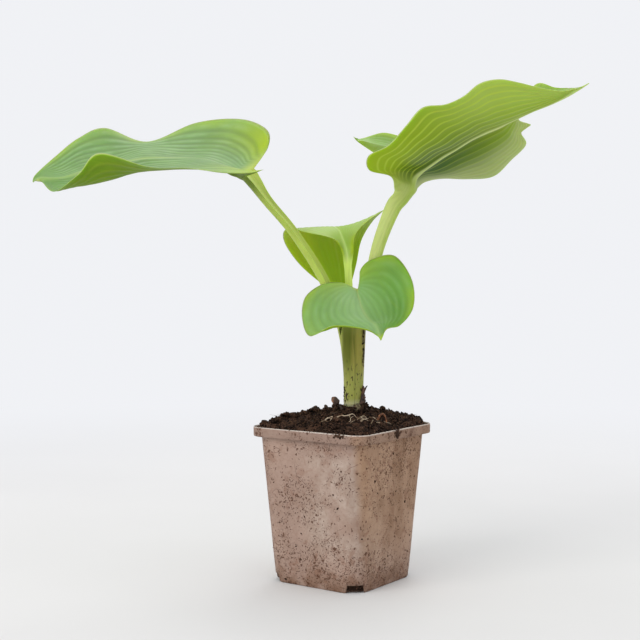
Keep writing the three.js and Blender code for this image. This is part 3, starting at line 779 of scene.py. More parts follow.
def leaf_skin(node):
    """Glaucous upper side, pale-veined yellow-green underside, painted edge glow and shade, streaked
    petiole.
    """
    skin = {**FINISH, **SKINS[node]}
    s = Shader(node + "_skin")
    marks = {key: s.attribute(key) for key in ("half", "edge", "midrib", "along")}
    side, grain = s.attribute("side"), s.attribute("grain", "Vector")
    clouds = s.noise(38, 3)
    streaks = s.noise(1, 3, s.stretched(grain, (1600, 70, 0)))
    cross = s.noise(1, 2, s.stretched(grain, (500, 2200, 0)))

    ribs, rib_gap = s.attribute("ribs"), s.attribute("rib_gap")
    off_rib = s.math("ABSOLUTE", s.math("SUBTRACT", ribs, s.math("ROUND", ribs)))
    vein_show = s.times(s.attribute("vein_show"), s.span(rib_gap, 0.8, 5.0))
    upper = upper_skin(s, skin, marks, off_rib, vein_show, clouds)
    lower = lower_skin(s, skin, marks, s.times(off_rib, rib_gap), vein_show)
    sheet = s.painted(
        lower,
        (side, upper),
        (s.span(streaks, 0.45, 0.8, 0, 0.15), LEAF_FRESH),
        # Painted backlit glow: the very margin paler, as where light shines through it
        (s.span(marks["edge"], 0.985, 1.0, 0, 0.7), EDGE_BACKLIGHT),
    )
    way = s.axis("Y", grain)
    # Painted shade: the underside darker round the joint of blade and petiole
    joint = s.times(s.span(way, -0.024, -0.006), s.span(way, 0.024, 0.008))
    joint = s.times(joint, s.span(side, 1, 0, 0, skin["joint"]))
    colour = s.painted(
        petiole_skin(s, skin, s.axis("Z"), streaks),
        (s.attribute("blade"), sheet),
        (joint, tinted(skin["under"][0], 0.8)),
    )
    relief = s.bump(streaks, 0.00006, 0.6, s.bump(cross, 0.00003, 0.5))
    return s.finish(
        Base_Color=colour,
        Roughness=s.plus(0.42, s.times(clouds, 0.12)),
        Specular_IOR_Level=skin["gloss"],
        Subsurface_Weight=0.35,
        Subsurface_Radius=(0.6, 1.0, 0.25),
        Subsurface_Scale=0.0014,
        Normal=relief,
    )


# ---------------------------------------------------------------- leaves

class Rails:
    """The curves that a blade is hung on: midrib, margins and the rise of each half."""

    def __init__(self, leaf):
        rows = [*leaf["rows"], [leaf["tip"]] * 3 + [0, 0]]
        self.midrib = [row[0] for row in rows]
        self.margins = {-1: [row[1] for row in rows], 1: [row[2] for row in rows]}
        self.rises = {-1: [row[3] for row in rows], 1: [row[4] for row in rows]}

    def calm(self, side, t):
        """A margin with its ruffles evened out."""
        span = np.minimum(RUFFLE_SPAN, np.minimum(t, 1 - t))
        margin = self.margins[side]
        return (spline(margin, t - span) + spline(margin, t) + spline(margin, t + span)) / 3

    def middle(self, side, t):
        """The middle of one half of the blade, raised square to it."""
        def between(at):
            return (spline(self.midrib, at) + self.calm(side, at)) / 2
        along = between(np.minimum(t + 0.01, 1)) - between(np.maximum(t - 0.01, 0))
        across = (spline(self.margins[side], t) - spline(self.midrib, t)) * side
        up = unit(np.cross(across, along))
        return between(t) + up * spline(self.rises[side], t)[..., None]

    def point(self, v, t):
        """Upper side of the blade; v is -1 on the left margin, 0 on the midrib, 1 on the right."""
        share = np.abs(v)[..., None]
        centre = spline(self.midrib, t) * (1 - share) * (1 - 2 * share)
        halves = [
            self.middle(side, t) * 4 * share * (1 - share)
            + spline(self.margins[side], t) * share * (2 * share - 1)
            for side in (-1, 1)
        ]
        return centre + np.where(v[..., None] < 0, *halves)

    def up(self, v, t):
        step = 0.03
        across = self.point(np.minimum(v + step, 1), t) - self.point(np.maximum(v - step, -1), t)
        along = self.point(v, np.minimum(t + step, 1)) - self.point(v, np.maximum(t - step, 0))
        return unit(np.cross(across, along))

    def half_width(self, v, t):
        margin = np.where(v[..., None] < 0, *(spline(self.margins[side], t) for side in (-1, 1)))
        return np.linalg.norm(margin - spline(self.midrib, t), axis=-1)


def petiole_frame(leaf, rails, s):
    """Centre, across and up directions of the petiole at shares s of its length."""
    angle = math.radians(leaf["foot"])
    foot = [STEM_X + STEM_RING * math.cos(angle), STEM_RING * math.sin(angle), STEM_FOOT_Z]
    centreline = [foot, *leaf["petiole"], rails.midrib[0]]

    def centre(at):
        return spline(centreline, at, after=rails.midrib[1])

    along = unit(centre(np.minimum(s + 0.01, 1)) - centre(np.maximum(s - 0.01, 0)))
    along = np.where(s[:, None] == 0, [[0, 0, 1.0]], along)
    foot_across = np.array([math.sin(angle), -math.cos(angle), 0])
    blade_across = unit(np.subtract(rails.margins[1][0], rails.margins[-1][0]))
    turn = smoothstep(s, 0.1, 1)[:, None]
    across = foot_across * (1 - turn) + blade_across * turn
    across = unit(across - along * np.sum(across * along, axis=1, keepdims=True))
    return centre(s), np.stack([across, np.cross(across, along), along], axis=1)


def gathered(points, lift):
    """Petiole points drawn out onto the stalk's common rounded outline, where the petioles clasp."""
    z = points[..., 2]
    climb = np.maximum(z - STALK_SPREADS_Z, 0)
    left = STALK_LEFT - STALK_FLARE * climb**2
    right = STALK_RIGHT + STALK_LEAN * (z - STEM_FOOT_Z)
    middle = np.stack([(left + right) / 2, STALK_Y + 0 * z], -1)
    half = np.stack([(right - left) / 2, STALK_DEPTH + 0 * z], -1)
    away = (points[..., :2] - middle) / half
    reach = np.linalg.norm(away, axis=-1)
    share = smoothstep(reach, 0.45, 0.75) * (1 - smoothstep(z, STALK_OPENS_Z, STALK_PARTS_Z))
    outline = middle + away / np.maximum(reach, 0.1)[..., None] * (half + lift[..., None])
    moved = points.copy()
    moved[..., :2] += (outline - points[..., :2]) * share[..., None]
    return moved


def petiole_grid(leaf, rails, blade_top, blade_under):
    """Rings of points round the petiole, from its foot up to the blade's first ring."""
    s = np.linspace(0, 1, PETIOLE_STEPS, endpoint=False)
    centres, frames = petiole_frame(leaf, rails, s)
    end_centre, end_frame = petiole_frame(leaf, rails, np.ones(1))
    phase = np.linspace(-1, 1, len(blade_top))
    v = np.sin(phase * math.pi / 2)
    width = spline(leaf["widths"], s)[:, None]
    swell = 1 + leaf["clasp"] * (1 - smoothstep(s, 0.2, 0.5))[:, None]
    spread = smoothstep(s, 0.72, 1)[:, None, None]
    ribs = RIB_HEIGHT * np.cos(phase * PETIOLE_RIBS * math.pi) * (np.abs(v) < 0.98)
    power = 2 + 1.8 * (1 - smoothstep(s, 0.15, 0.45))[:, None]
    bow = np.maximum(1 - np.abs(v) ** power, 0) ** (1 / power)
    sideways = v * width * swell / 2
    above = (PETIOLE_RISE - PETIOLE_CHANNEL * (1 - v**2)) * width
    below = (PETIOLE_RISE - PETIOLE_DEPTH * bow + ribs) * width
    sides = []
    for height, blade_ring, inset in ((above, blade_top, SHEATH_THICKNESS), (below, blade_under, 0)):
        own = np.stack([sideways, height, 0 * height], -1)
        joint = (blade_ring - end_centre) @ end_frame[0].T
        joint = joint[None] * (width / leaf["widths"][-1])[..., None]
        local = own * (1 - spread) + joint * spread
        ring = centres[:, None] + np.einsum("skj,sji->ski", local, frames)
        sides.append(gathered(ring, leaf["lift"] - inset * (1 - np.abs(v) ** 6)))

    flat = np.zeros((len(s), len(phase)))
    reach = run_along(centres)
    marks = dict.fromkeys(("ribs", "vein_show", "edge", "midrib", "along", "blade", "half"), flat)
    marks["rib_gap"] = flat + 5
    marks["round"] = flat + v
    marks["aside"] = (sides[0][..., 0] + sides[1][..., 0]) / 2
    grain = np.stack([v * width / 2, flat + reach - reach[-1], flat], -1)
    return *sides, marks, grain


def blade_steps(leaf):
    """Shares along and across the blade, its side veins counted, and how far it has opened."""
    spaces = leaf["veins"] + 1
    phase = np.linspace(-1, 1, 2 * spaces * STEPS_A_VEIN + 1)
    t, phase = np.meshgrid(np.linspace(0, BLADE_ENDS_AT, BLADE_STEPS), phase, indexing="ij")
    opened = smoothstep(t, 0, BLADE_OPENS_BY)
    fan = leaf["fan"] + (FAN_FULL - leaf["fan"]) * smoothstep(t, 0.04, 0.5)
    place = phase * (1 + leaf["spread"] * (1 - np.abs(phase)))
    v_blade = place * fan + np.sign(phase) * (1 - fan) * np.abs(phase) ** 8
    v = v_blade * opened + np.sin(phase * math.pi / 2) * (1 - opened)
    return t, v, phase, phase * spaces, opened


def blade_grid(leaf, rails):
    """Rings of points round the blade, and what the finish needs to know at each point."""
    petiole_width = leaf["widths"][-1]
    rod_up = petiole_frame(leaf, rails, np.ones(1))[1][0, 1]
    t, v, phase, ribs, opened = blade_steps(leaf)
    top = rails.point(v, t)
    up = rails.up(v, t)

    off_vein = np.abs(ribs - np.round(ribs)) * 2
    fade = smoothstep(t, 0.12, 0.4) * (1 - smoothstep(t, 0.75, 0.97))
    width = rails.half_width(v, t)
    quilt = leaf["quilt"] * np.sin(off_vein * math.pi / 2) ** 1.5 * fade * np.minimum(width / 45, 1)
    quilt = quilt * (1 - smoothstep(np.abs(v), 0.9, 1))
    across = v * width
    groove = GROOVE_DEPTH * petiole_width * bell(across, GROOVE_WIDTH * petiole_width) * opened * (1 - t)
    top = top + up * (quilt - groove)[..., None]

    is_vein = (off_vein < 0.01) * (np.abs(ribs) > 0.5) * (np.abs(phase) < 0.99)
    ridge = VEIN_RIDGE * is_vein * fade
    keel = KEEL_SHARE * petiole_width * opened * (1 - t) ** 2
    keel = keel * bell(across, KEEL_WIDTH * petiole_width)
    sheet = BLADE_THICKNESS * (1 - 0.5 * t) * (1 - 0.5 * smoothstep(np.abs(v), 0.9, 1)) + ridge + keel
    rod = PETIOLE_FLARE * petiole_width * np.sqrt(np.maximum(1 - v**2, 0))
    under = top - up * (sheet * opened)[..., None] - rod_up * (rod * (1 - opened))[..., None]

    reach = run_along(rails.point(np.zeros(BLADE_STEPS), t[:, 0]))
    marks = {
        "ribs": ribs,
        "rib_gap": width * np.gradient(v, axis=1) / np.gradient(ribs, axis=1),
        "vein_show": smoothstep(t, 0.0, 0.1) * (1 - smoothstep(t, 0.8, 1)) * (np.abs(phase) < 0.96),
        "edge": np.abs(v),
        "midrib": bell(across, 0.12 * petiole_width + 0.4) * (1 - 0.7 * t),
        "along": t,
        "blade": opened,
        "half": np.sign(v),
        "round": v * (1 - opened),
        "aside": top[..., 0],
    }
    grain = np.stack([across, reach + np.zeros_like(t), np.zeros_like(t)], -1)
    return top, under, marks, grain


def closed_ring(top, under):
    """Columns round a section: the upper side left to right, then the underside back."""
    return np.concatenate([top, under[:, -2:0:-1]], axis=1)


def build_leaf(node, leaf):
    rails = Rails(leaf)
    blade = blade_grid(leaf, rails)
    petiole = petiole_grid(leaf, rails, blade[0][0], blade[1][0])
    top, under, grain = (np.concatenate([petiole[k], blade[k]]) for k in (0, 1, 3))
    attributes = {}
    for key in blade[2]:
        column = np.concatenate([petiole[2][key], blade[2][key]])
        attributes[key] = closed_ring(column, column).ravel()
    attributes["grain"] = closed_ring(grain, grain).reshape(-1, 3) * MM
    attributes["side"] = closed_ring(np.ones(top.shape[:2]), np.zeros(top.shape[:2])).ravel()
    grid = closed_ring(top, under)
    loft_piece("hosta_" + node, grid, "leaf_green", leaf_skin(node), node, attributes)


# ---------------------------------------------------------------- pot

def wall_section(z):
    """Half width and corner radius of the outer wall at a height."""
    share = z / NECK_Z
    half = BASE_HALF + (NECK_HALF - BASE_HALF) * share
    return half, BASE_CORNER + (NECK_CORNER - BASE_CORNER) * share


def build_pot():
    """The pot's wall as one closed loft: up the outside, over the rim and down the inside."""
    rows = [(BASE_HALF - 0.9, BASE_CORNER, 0), (BASE_HALF - 0.25, BASE_CORNER, 0.2)]
    rows += [(*wall_section(z), z) for z in np.linspace(0.8, NECK_Z - 0.6, 30)]
    rows += [(NECK_HALF + 0.15, NECK_CORNER, NECK_Z - 0.15), (NECK_HALF + 0.5, NECK_CORNER, NECK_Z)]
    outside = [
        (0.5, NECK_Z + 0.1), (0.15, NECK_Z + 0.3), (0.05, NECK_Z + 0.8), (0, NECK_Z + 3),
        (0, POT_HEIGHT - 0.6), (0.1, POT_HEIGHT - 0.2), (0.35, POT_HEIGHT),
    ]
    rows += [(RIM_HALF - inset, RIM_CORNER, z) for inset, z in outside]
    rows += [
        (RIM_HALF - WALL + 0.3, RIM_CORNER - WALL, POT_HEIGHT),
        (RIM_HALF - WALL + 0.05, RIM_CORNER - WALL, POT_HEIGHT - 0.2),
        (RIM_HALF - WALL, RIM_CORNER - WALL, POT_HEIGHT - 0.6),
        (RIM_HALF - 2 * WALL, RIM_CORNER - WALL, NECK_Z + 2 * WALL),
        (NECK_HALF - WALL, NECK_CORNER - WALL, NECK_Z + WALL),
        (BASE_HALF - WALL, BASE_CORNER - WALL, FLOOR + 0.5),
        (BASE_HALF - WALL - 0.5, BASE_CORNER - WALL, FLOOR),
    ]
    rings = np.array([square_ring(half, corner, z, 12, 14) for half, corner, z in rows])
    points = rings.reshape(-1, 3)
    height = points[:, 2] / POT_HEIGHT
    outward = unit(points * [1, 1, 0])
    around = roughness_of(points * [1, 1, 0.8], 34, 3, 2)
    points = points + outward * (WALL_WAVE * around * np.sin(height * math.pi))[:, None]
    lift = roughness_of(points * [1, 1, 0], 30, 5, 1) * smoothstep(height, 0.8, 1)
    points[:, 2] -= WALL_WAVE * np.abs(lift)
    faces = loft_faces(*rings.shape[:2])
    pot = mesh_piece("nursery_pot", points, faces, "pot_plastic", nodes=["pot"])
    cut_notches(pot)
    pot.data.materials.append(pot_plastic())


def cut_notches(pot):
    """Cuts the drainage notch at each corner of the foot."""
    to_corner = math.sqrt(2) * (BASE_HALF - BASE_CORNER) + BASE_CORNER
    foot, top = NOTCH_FOOT / 2, NOTCH_TOP / 2
    outline = [(-foot, -1), (foot, -1), (top, NOTCH_HEIGHT), (-top, NOTCH_HEIGHT)]
    points, faces = [], []
    for corner in range(4):
        out = heading((corner + 0.5) * math.pi / 2)
        across = np.array([-out[1], out[0], 0])
        for reach in (to_corner - NOTCH_REACH, to_corner + NOTCH_REACH):
            points += [out * reach + across * x + [0, 0, z] for x, z in outline]
        faces += [tuple(8 * corner + k for k in face) for face in loft_faces(2, 4)]
    cutter = linked("notches", mesh_of("notches", points, faces))
    cut = pot.modifiers.new("notches", "BOOLEAN")
    cut.operation = "DIFFERENCE"
    cut.solver = "EXACT"
    cut.object = cutter
    depsgraph = bpy.context.evaluated_depsgraph_get()
    pot.data = bpy.data.meshes.new_from_object(pot.evaluated_get(depsgraph))
    pot.modifiers.clear()
    bpy.data.objects.remove(cutter)


def wall_place(dice):
    """A random point on the pot's outer wall, in millimetres, and the wall's normal there."""
    z = NECK_Z * dice.random() ** 1.3
    half, corner = wall_section(z)
    ring = np.array(square_ring(half, corner, z, 6, 30))
    point = ring[dice.randrange(len(ring))]
    flat_side = np.clip(point[:2], corner - half, half - corner)
    return point, unit(np.append(point[:2] - flat_side, 0.0))


def build_pot_dirt():
    """Small lumps of dried compost stuck to the wall and the rim."""
    dice = random.Random(11)
    places = []
    while len(places) < WALL_SPECKS:
        point, normal = wall_place(dice)
        if point[2] < LOWEST_DIRT:
            continue
        if noise.noise(Vector(point) / 16 + Vector((4, 1, 9))) + dice.uniform(-0.5, 0.5) < -0.1:
            continue
        places.append((point, normal, 0.16 + 0.75 * dice.random() ** 7, 0.35))
    for _ in range(RIM_SPECKS):
        ring = square_ring(RIM_HALF - WALL / 2, RIM_CORNER, POT_HEIGHT - 0.1, 12, 60)
        point = np.array(dice.choice(ring))
        places.append((point, (0, 0, 1), 0.15 + 0.35 * dice.random() ** 3, 0.5))
    for at, spread, count in RIM_CLUMPS:
        normal = np.round(np.array(at) / RIM_HALF * [1, 1, 0])
        for _ in range(count):
            shift = np.array([dice.gauss(0, 0.5) * share for share in spread])
            places.append((np.array(at) + shift, normal, dice.uniform(0.4, 0.9), 0.5))
    skin = compost("dried_compost", (0.022, 0.011, 0.007), (0.07, 0.038, 0.024))
    mesh_piece("pot_dirt", *lumps(places, 1, 12), "compost", skin)


# ---------------------------------------------------------------- soil

def soil_rings():
    """Square rings of the soil: RINGS_BELOW up the pot's wall, then in over the mound."""
    inset = WALL + GAP
    rows = [
        (BASE_HALF - inset, BASE_CORNER - WALL, FLOOR + GAP, 0),
        (NECK_HALF - inset, NECK_CORNER - WALL, NECK_Z + inset, 0),
        (RIM_HALF - inset - WALL, RIM_CORNER - WALL, NECK_Z + inset + WALL, 0),
        (RIM_HALF - inset - WALL, RIM_CORNER - WALL, SOIL_EDGE_Z - 1, 0),
    ]
    for share in np.linspace(MOUND_SHARES[0], 0.03, 100):
        half = share * RIM_HALF
        height = np.interp(share, MOUND_SHARES[::-1], MOUND_HEIGHTS[::-1])
        rows.append((half, half * (1 - 0.75 * share), height, 1 - share))
    return np.array([square_ring(*row[:3], 30, 70) + STEM * row[3] for row in rows])


def build_soil():
    """The crumbly mound. Returns the points of its open surface."""
    rings = soil_rings()
    points = rings.reshape(-1, 3)
    surface = np.repeat(np.arange(len(rings)) >= RINGS_BELOW, rings.shape[1])
    flat = points[surface] * [1, 1, 0.6]
    edge = smoothstep(RIM_HALF - np.abs(points[surface][:, :2]).max(axis=1), 2, 7)
    back = smoothstep((points[surface] - STEM) @ turned([0, 1, 0]), -6, 12)
    swell = 1.3 * roughness_of(flat, 16, 1, 2) + 2.2 * back * edge
    coarse = 2.4 * crumbs_of(flat, 4.6, 2) * smoothstep(roughness_of(flat, 9, 6, 2), -0.5, 0.4)
    medium = 1.2 * crumbs_of(flat, 2.1, 3)
    fine = 0.35 * roughness_of(flat, 1.3, 4, 3)
    points[surface, 2] += (swell + coarse) * (0.3 + 0.7 * edge) + medium + fine - 1.2
    skin = compost("moist_compost", (0.009, 0.0042, 0.0024), (0.06, 0.031, 0.019))
    mesh_piece("compost_mound", points, loft_faces(*rings.shape[:2]), "compost", skin, ["soil"])
    return points[surface]


def build_soil_crumbs(surface):
    """Loose crumbs that lie on the mound, the large ones clear of the roots."""
    roots = turned(np.concatenate([spline(path, np.linspace(0, 1, 9)) for _, path in ROOTS.values()]))
    dice = np.random.default_rng(21)
    big, small = [], []
    for _ in range(LARGE_CRUMBS):
        place = surface[dice.integers(len(surface))]
        radius = 0.7 + 1.9 * dice.random() ** 4
        if np.hypot(*(roots[:, :2] - place[:2]).T).min() < 2 * radius + 1:
            continue
        big.append((place + [0, 0, 0.35 * radius], (0, 0, 1), radius, dice.uniform(0.6, 0.95)))
    for _ in range(SMALL_CRUMBS):
        place = surface[dice.integers(len(surface))]
        radius = 0.22 + 0.5 * dice.random() ** 2
        small.append((place + [0, 0, 0.3 * radius], (0, 0, 1), radius, dice.uniform(0.6, 1)))
    skin = compost("loose_compost", (0.009, 0.0045, 0.0028), (0.07, 0.037, 0.023))
    for name, places, detail in (("large_crumbs", big, 2), ("small_crumbs", small, 0)):
        mesh_piece(name, *lumps(places, detail, 22), "compost", skin)


def build_fibres(surface):
    """Fine roots and peat fibres on the mound."""
    dice = np.random.default_rng(31)
    paths = []
    for _ in range(FIBRES):
        start = surface[dice.integers(len(surface))] + [0, 0, 0.4]
        away = heading(dice.uniform(0, 2 * math.pi))
        length = 2 + 7 * dice.random() ** 2
        bend = dice.uniform(-1, 1, (4, 3)) * length * 0.14
        path = [start + away * length / 3 * k + bend[k] * [1, 1, 0.7] for k in range(4)]
        paths.append((path, dice.uniform(0.08, 0.2), 0.05))
    skin = root_skin("fibre_skin", (0.22, 0.13, 0.07), (0.06, 0.03, 0.018))
    mesh_piece("peat_fibres", *tubes(paths, 5), "dry_root", skin)


# ---------------------------------------------------------------- stem foot

# Radius and path of each thicker root
ROOTS = {
    "root_arch": (0.45, [[-4, -20, 0], [-1, -20.5, 0], [2.5, -20, 0], [6, -19.5, 0], [9, -18.5, 0]]),
    "root_curl": (0.42, [[-11.5, -19, 0], [-9.5, -20, 0], [-7, -20, 0], [-8, -20.5, 0]]),
    "root_tan": (0.8, [[22, -17, 0], [24, -17.5, 0], [26.5, -16.5, 0], [28, -15.5, 0]]),
}
SHEATH_EDGES = [[9.2, 15.6], [9.8, 14.8], [10.8, 14.4], [11.9, 14.5], [12.7, 16]]
SHEATH_FOOT_Z = 109.5
SHEATH_TIP_Z = 125.6
SCALE_THICKNESS = 0.35


def laid(path, surface, lift):
    """The path, dropped on the mound and raised by lift at each of its points."""
    path = turned(path)
    for point, up in zip(path, lift):
        near = np.hypot(*(surface[:, :2] - point[:2]).T) < 1.2
        point[2] = surface[near, 2].max() + up
    return path


def build_roots(surface):
    """The three thicker roots that lie in front of the stalk."""
    pale = root_skin("root_skin", (0.74, 0.6, 0.44), (0.36, 0.23, 0.14))
    tan = root_skin("tan_root_skin", (0.46, 0.18, 0.07), (0.12, 0.045, 0.022))
    for node, (radius, path) in ROOTS.items():
        dense = spline(path, np.linspace(0, 1, 9))
        dense = dense + np.random.default_rng(7).uniform(-0.25, 0.25, dense.shape)
        lift = radius * (0.4 + 5 * np.sin(np.linspace(0, math.pi, 9)))
        root = tubes([(laid(dense, surface, lift), radius, 0.5 * radius)], 10)
        mesh_piece("pale_" + node, *root, "dry_root", tan if node == "root_tan" else pale, [node])


def build_root_curls(surface):
    """Thin pale rootlets that lie on the compost in front of the stem."""
    dice = np.random.default_rng(41)
    paths = []
    for _ in range(ROOTLETS):
        start = np.array([dice.uniform(-14, 27), dice.uniform(-29, -15), 0])
        away = heading(dice.uniform(0.3, math.pi - 0.3))
        step = away * dice.uniform(0.7, 1.7)
        bend = dice.uniform(-0.8, 0.8, (5, 3))
        path = np.array([start + step * k + bend[k] for k in range(5)])
        lift = 0.2 + dice.uniform(0.2, 1.2) * np.array([0, 0.8, 1, 0.8, 0])
        paths.append((laid(path, surface, lift), dice.uniform(0.16, 0.3), 0.1))
    skin = root_skin("rootlet_skin", (0.66, 0.53, 0.38), (0.3, 0.19, 0.11))
    mesh_piece("rootlets", *tubes(paths, 7), "dry_root", skin)


def lathed(profile, steps, columns, wrinkles, seed):
    """Rings of a wrinkled body of revolution about Z. The profile is radius and height."""
    rows = spline(profile, np.linspace(0, 1, steps))
    angle = np.linspace(0, 2 * math.pi, columns, endpoint=False)
    radius = np.maximum(rows[:, :1], 0.05)
    ridges = 1 + wrinkles * np.cos(7 * angle + 3 * np.sin(2 * angle + seed))[None, :]
    x = radius * ridges * np.cos(angle)
    y = radius * ridges * np.sin(angle)
    z = rows[:, 1:] + 0 * x
    points = np.stack([x, y, z], -1)
    bumps = roughness_of(points.reshape(-1, 3), 2.5, seed).reshape(*x.shape, 1)
    return points + bumps * unit(points * [1, 1, 0]) * 0.3


def build_bud():
    """The dry brown bead that leans on its short stalk."""
    profile = [
        [0.1, 0], [0.7, 0.4], [0.6, 3], [0.9, 4.4], [2, 5.4],
        [2.2, 7.4], [1.8, 9.2], [0.8, 10.2], [0.1, 10.5],
    ]
    lean = np.array(Matrix.Rotation(math.radians(-42), 3, "Y"))
    grid = lathed(profile, 60, 36, 0.15, 3) @ lean.T + [-0.2, -7.4, 110.4]
    s = Shader("bud_skin")
    colour = s.painted(
        (0.5, 0.22, 0.1),
        (s.span(s.noise(380, 4), 0.38, 0.56), (0.1, 0.045, 0.024)),
        (s.span(s.axis("X"), -0.001, 0.001), (0.05, 0.024, 0.014)),
        (s.span(s.axis("Z"), 0.1145, 0.113), (0.03, 0.016, 0.01)),
    )
    relief = s.bump(s.noise(1500, 4), 0.0003, 0.8)
    skin = s.finish(Base_Color=colour, Roughness=0.6, Normal=relief)
    loft_piece("spent_bud", grid, "dry_scale", skin, "dry_bud")


def sheet_piece(name, node, grid, ruffles, seed, skin):
    """A thin ruffled scale from a grid of points in the plant's frame, closed at its edges."""
    ruffle = roughness_of(grid.reshape(-1, 3), 2.4, seed).reshape(grid.shape[:2])
    grid = grid + ruffle[..., None] * ruffles
    normal = unit(np.cross(np.gradient(grid, axis=1), np.gradient(grid, axis=0)))
    loft_piece(name, closed_ring(grid, grid - normal * SCALE_THICKNESS), "dry_scale", skin, node)


def build_scales():
    """The dry sheath with its forked tip right of the stalk, and the torn scale at its foot."""
    up, across = np.meshgrid(np.linspace(0, 1, 40), np.linspace(-1, 1, 25), indexing="ij")
    height = SHEATH_FOOT_Z + (SHEATH_TIP_Z - SHEATH_FOOT_Z) * up
    height = height - 1.6 * (1 - np.abs(across)) * smoothstep(up, 0.7, 1)
    edges = spline(SHEATH_EDGES, up[:, 0])
    x = edges[:, :1] * (1 - across) / 2 + edges[:, 1:] * (1 + across) / 2
    y = -3.4 - 3.2 * np.cos(1.2 * across) + 1.2 * up
    brown = root_skin("sheath_skin", (0.14, 0.065, 0.038), (0.028, 0.014, 0.009))
    sheath = np.stack([x, y, height], -1)
    sheet_piece("forked_sheath", "dry_sheath", sheath, (0.6, -0.7, 0.4), 8, brown)

    height = 109.8 + up * (4.6 - 2.2 * across**2)
    x = 9.4 + across * (3.4 - 1.2 * up)
    y = -7.2 - 1.4 * np.cos(across) - 0.9 * up
    pale = root_skin("scale_skin", (0.3, 0.25, 0.13), (0.07, 0.04, 0.022))
    scale = np.stack([x, y, height], -1)
    sheet_piece("torn_foot_scale", "torn_scale", scale, (0, -0.5, 0.3), 9, pale)


def build_crown():
    """The pale crown that the petioles stand on, with old leaf scars round it."""
    profile = [
        [0.1, 84], [5.4, 84.4], [6.2, 90], [6.3, 100],
        [6.4, 107], [6.2, 110.4], [5.4, 111.5], [0.1, 111.8],
    ]
    grid = lathed(profile, 90, 64, 0.03, 5) + [STEM_X, 0, 0]
    s = Shader("crown_skin")
    rings = s.noise(1, 3, s.stretched(s.place, (90, 90, 900)))
    colour = s.painted(
        (0.36, 0.34, 0.19),
        (s.span(rings, 0.4, 0.65), (0.12, 0.08, 0.045)),
        (s.span(s.noise(330, 4), 0.45, 0.6), (0.03, 0.018, 0.011)),
    )
    skin = s.finish(Base_Color=colour, Roughness=0.75, Normal=s.bump(rings, 0.0003, 0.8))
    loft_piece("pale_crown", grid, "crown_tissue", skin, "crown")


# Compost that clings to the stalk: lowest and highest x, y and z, how much higher it reaches for
# each millimetre to the right, which way it faces, least radius, range of radius, flatness, count
CLINGING = [
    ([12.6, -5, 138], [13.7, -3, 164], 0, (0.8, -0.6, 0), 0.2, 0.45, 0.4, 90),
    ([5.6, -8.4, 109.5], [15.4, -6.4, 111.5], 0.35, (0, -0.5, 0.8), 0.5, 1.1, 0.8, 70),
    ([0.6, -4.5, 114], [1.6, -2, 130], 0, (-0.8, -0.6, 0), 0.2, 0.45, 0.5, 26),
]
FOOT_CRUMBS = 130


def build_stalk_dirt():
    """Compost that clings to the stalk: down its right edge, low on its left, and at its foot."""
    dice = np.random.default_rng(51)
    places = []
    for low, high, climb, normal, least, more, flatness, count in CLINGING:
        for _ in range(count):
            x = dice.uniform(low[0], high[0])
            y = dice.uniform(low[1], high[1])
            z = dice.uniform(low[2], high[2] + climb * (x - low[0]))
            places.append(([x, y, z], normal, least + more * dice.random() ** 2, flatness))
    for _ in range(FOOT_CRUMBS):
        angle = dice.uniform(-1.9, 0.3)
        reach = dice.uniform(5.4, 9.5)
        place = [STEM_X + reach * math.cos(angle), reach * math.sin(angle), 112.6 - (reach - 5.4) * 0.8]
        place[2] -= dice.uniform(0, 3)
        places.append((place, (0, 0, 1), 0.6 + 1.2 * dice.random() ** 2, 0.8))
    points, faces = lumps(places, 2, 52)
    skin = compost("clinging_compost", (0.014, 0.007, 0.004), (0.05, 0.027, 0.017))
    mesh_piece("stalk_dirt", turned(points), faces, "compost", skin)


# ---------------------------------------------------------------- stage

BACKDROP = (0.875, 0.885, 0.915)
FLOOR_HALF = 9000
FLOOR_FADE = (0.25, 1.1)
LIGHTS_AIM = Vector((0, 0, 0.16))
# The camera's lens, its place in the plant's frame, and how far below level it looks, in degrees
CAMERA_LENS = 70.14
CAMERA_PLACE = Vector((-14.74, -806.2, 198.7))
CAMERA_DROP = 2.206


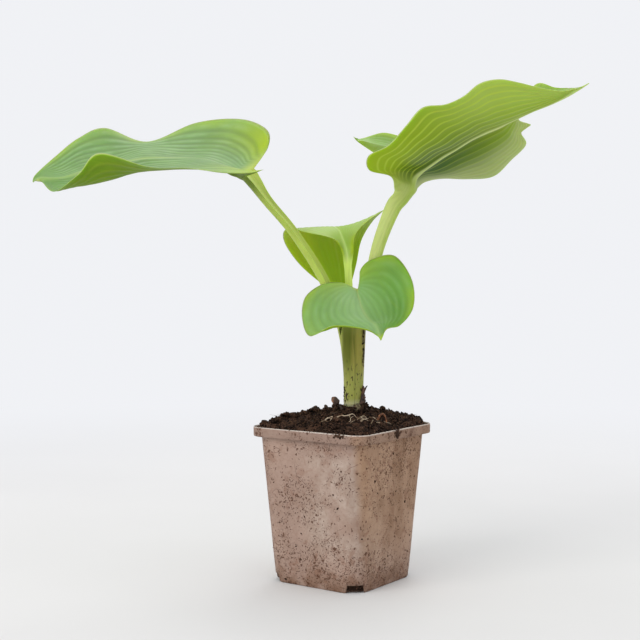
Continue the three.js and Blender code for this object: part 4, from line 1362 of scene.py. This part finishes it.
def area_light(name, place, size, energy, colour):
    """A square soft light aimed at the plant, placed in the plant's frame, in metres."""
    light = bpy.data.lights.new(name, "AREA")
    light.size = size
    light.energy = energy
    light.color = colour
    lamp = linked(name, light)
    lamp.location = turned(place)
    lamp.rotation_euler = (lamp.location - LIGHTS_AIM).to_track_quat("Z", "Y").to_euler()


def pale_floor():
    """Matte pale floor that fades into the backdrop's colour away from the pot."""
    s = Shader("pale_floor")
    x, y = s.axis("X"), s.axis("Y")
    reach = s.math("POWER", s.plus(s.times(x, x), s.times(y, y)), 0.5)
    mottle = s.mix(s.noise(6, 3), (0.66, 0.655, 0.645), (0.7, 0.695, 0.685))
    s.finish(Base_Color=mottle, Roughness=0.8)
    glow = s.node("Emission", 0, {"Color": BACKDROP})
    faded = {0: s.span(reach, *FLOOR_FADE), 1: s.surface.outputs[0], 2: glow}
    s.feed(s.tree.nodes["Material Output"].inputs["Surface"], s.node("MixShader", 0, faded))
    return s.material


def build_stage():
    world = bpy.data.worlds.new("soft_studio")
    world.use_nodes = True
    world.node_tree.nodes["Background"].inputs["Color"].default_value = (*BACKDROP, 1)
    bpy.context.scene.world = world

    corners = np.array([(-1, -1, 0), (1, -1, 0), (1, 1, 0), (-1, 1, 0)]) * FLOOR_HALF
    floor = linked("floor", mesh_of("floor", corners, [(0, 1, 2, 3)]))
    floor.data.materials.append(pale_floor())

    area_light("key", (-0.9, -0.8, 1.0), 0.8, 9, (1, 0.98, 0.95))
    area_light("back", (0.35, 0.8, 1.2), 0.9, 5, (1, 1, 1))


def build_camera():
    """The photographer's place: in front of the plant, a little above the rim, looking level."""
    data = bpy.data.cameras.new("camera")
    data.lens = CAMERA_LENS
    camera = linked("camera", data)
    place = Matrix.Translation(CAMERA_PLACE * MM)
    tilt = Matrix.Rotation(math.radians(90 - CAMERA_DROP), 4, "X")
    camera.matrix_world = Matrix.Rotation(PLANT_TURN, 4, "Z") @ place @ tilt
    bpy.context.scene.camera = camera
    bpy.context.scene.view_settings.view_transform = "Standard"


build_camera()
build_stage()
build_pot()
build_pot_dirt()
mound = build_soil()
build_soil_crumbs(mound)
build_fibres(mound)
for node, leaf in LEAVES.items():
    build_leaf(node, leaf)
build_roots(mound)
build_root_curls(mound)
build_bud()
build_scales()
build_crown()
build_stalk_dirt()
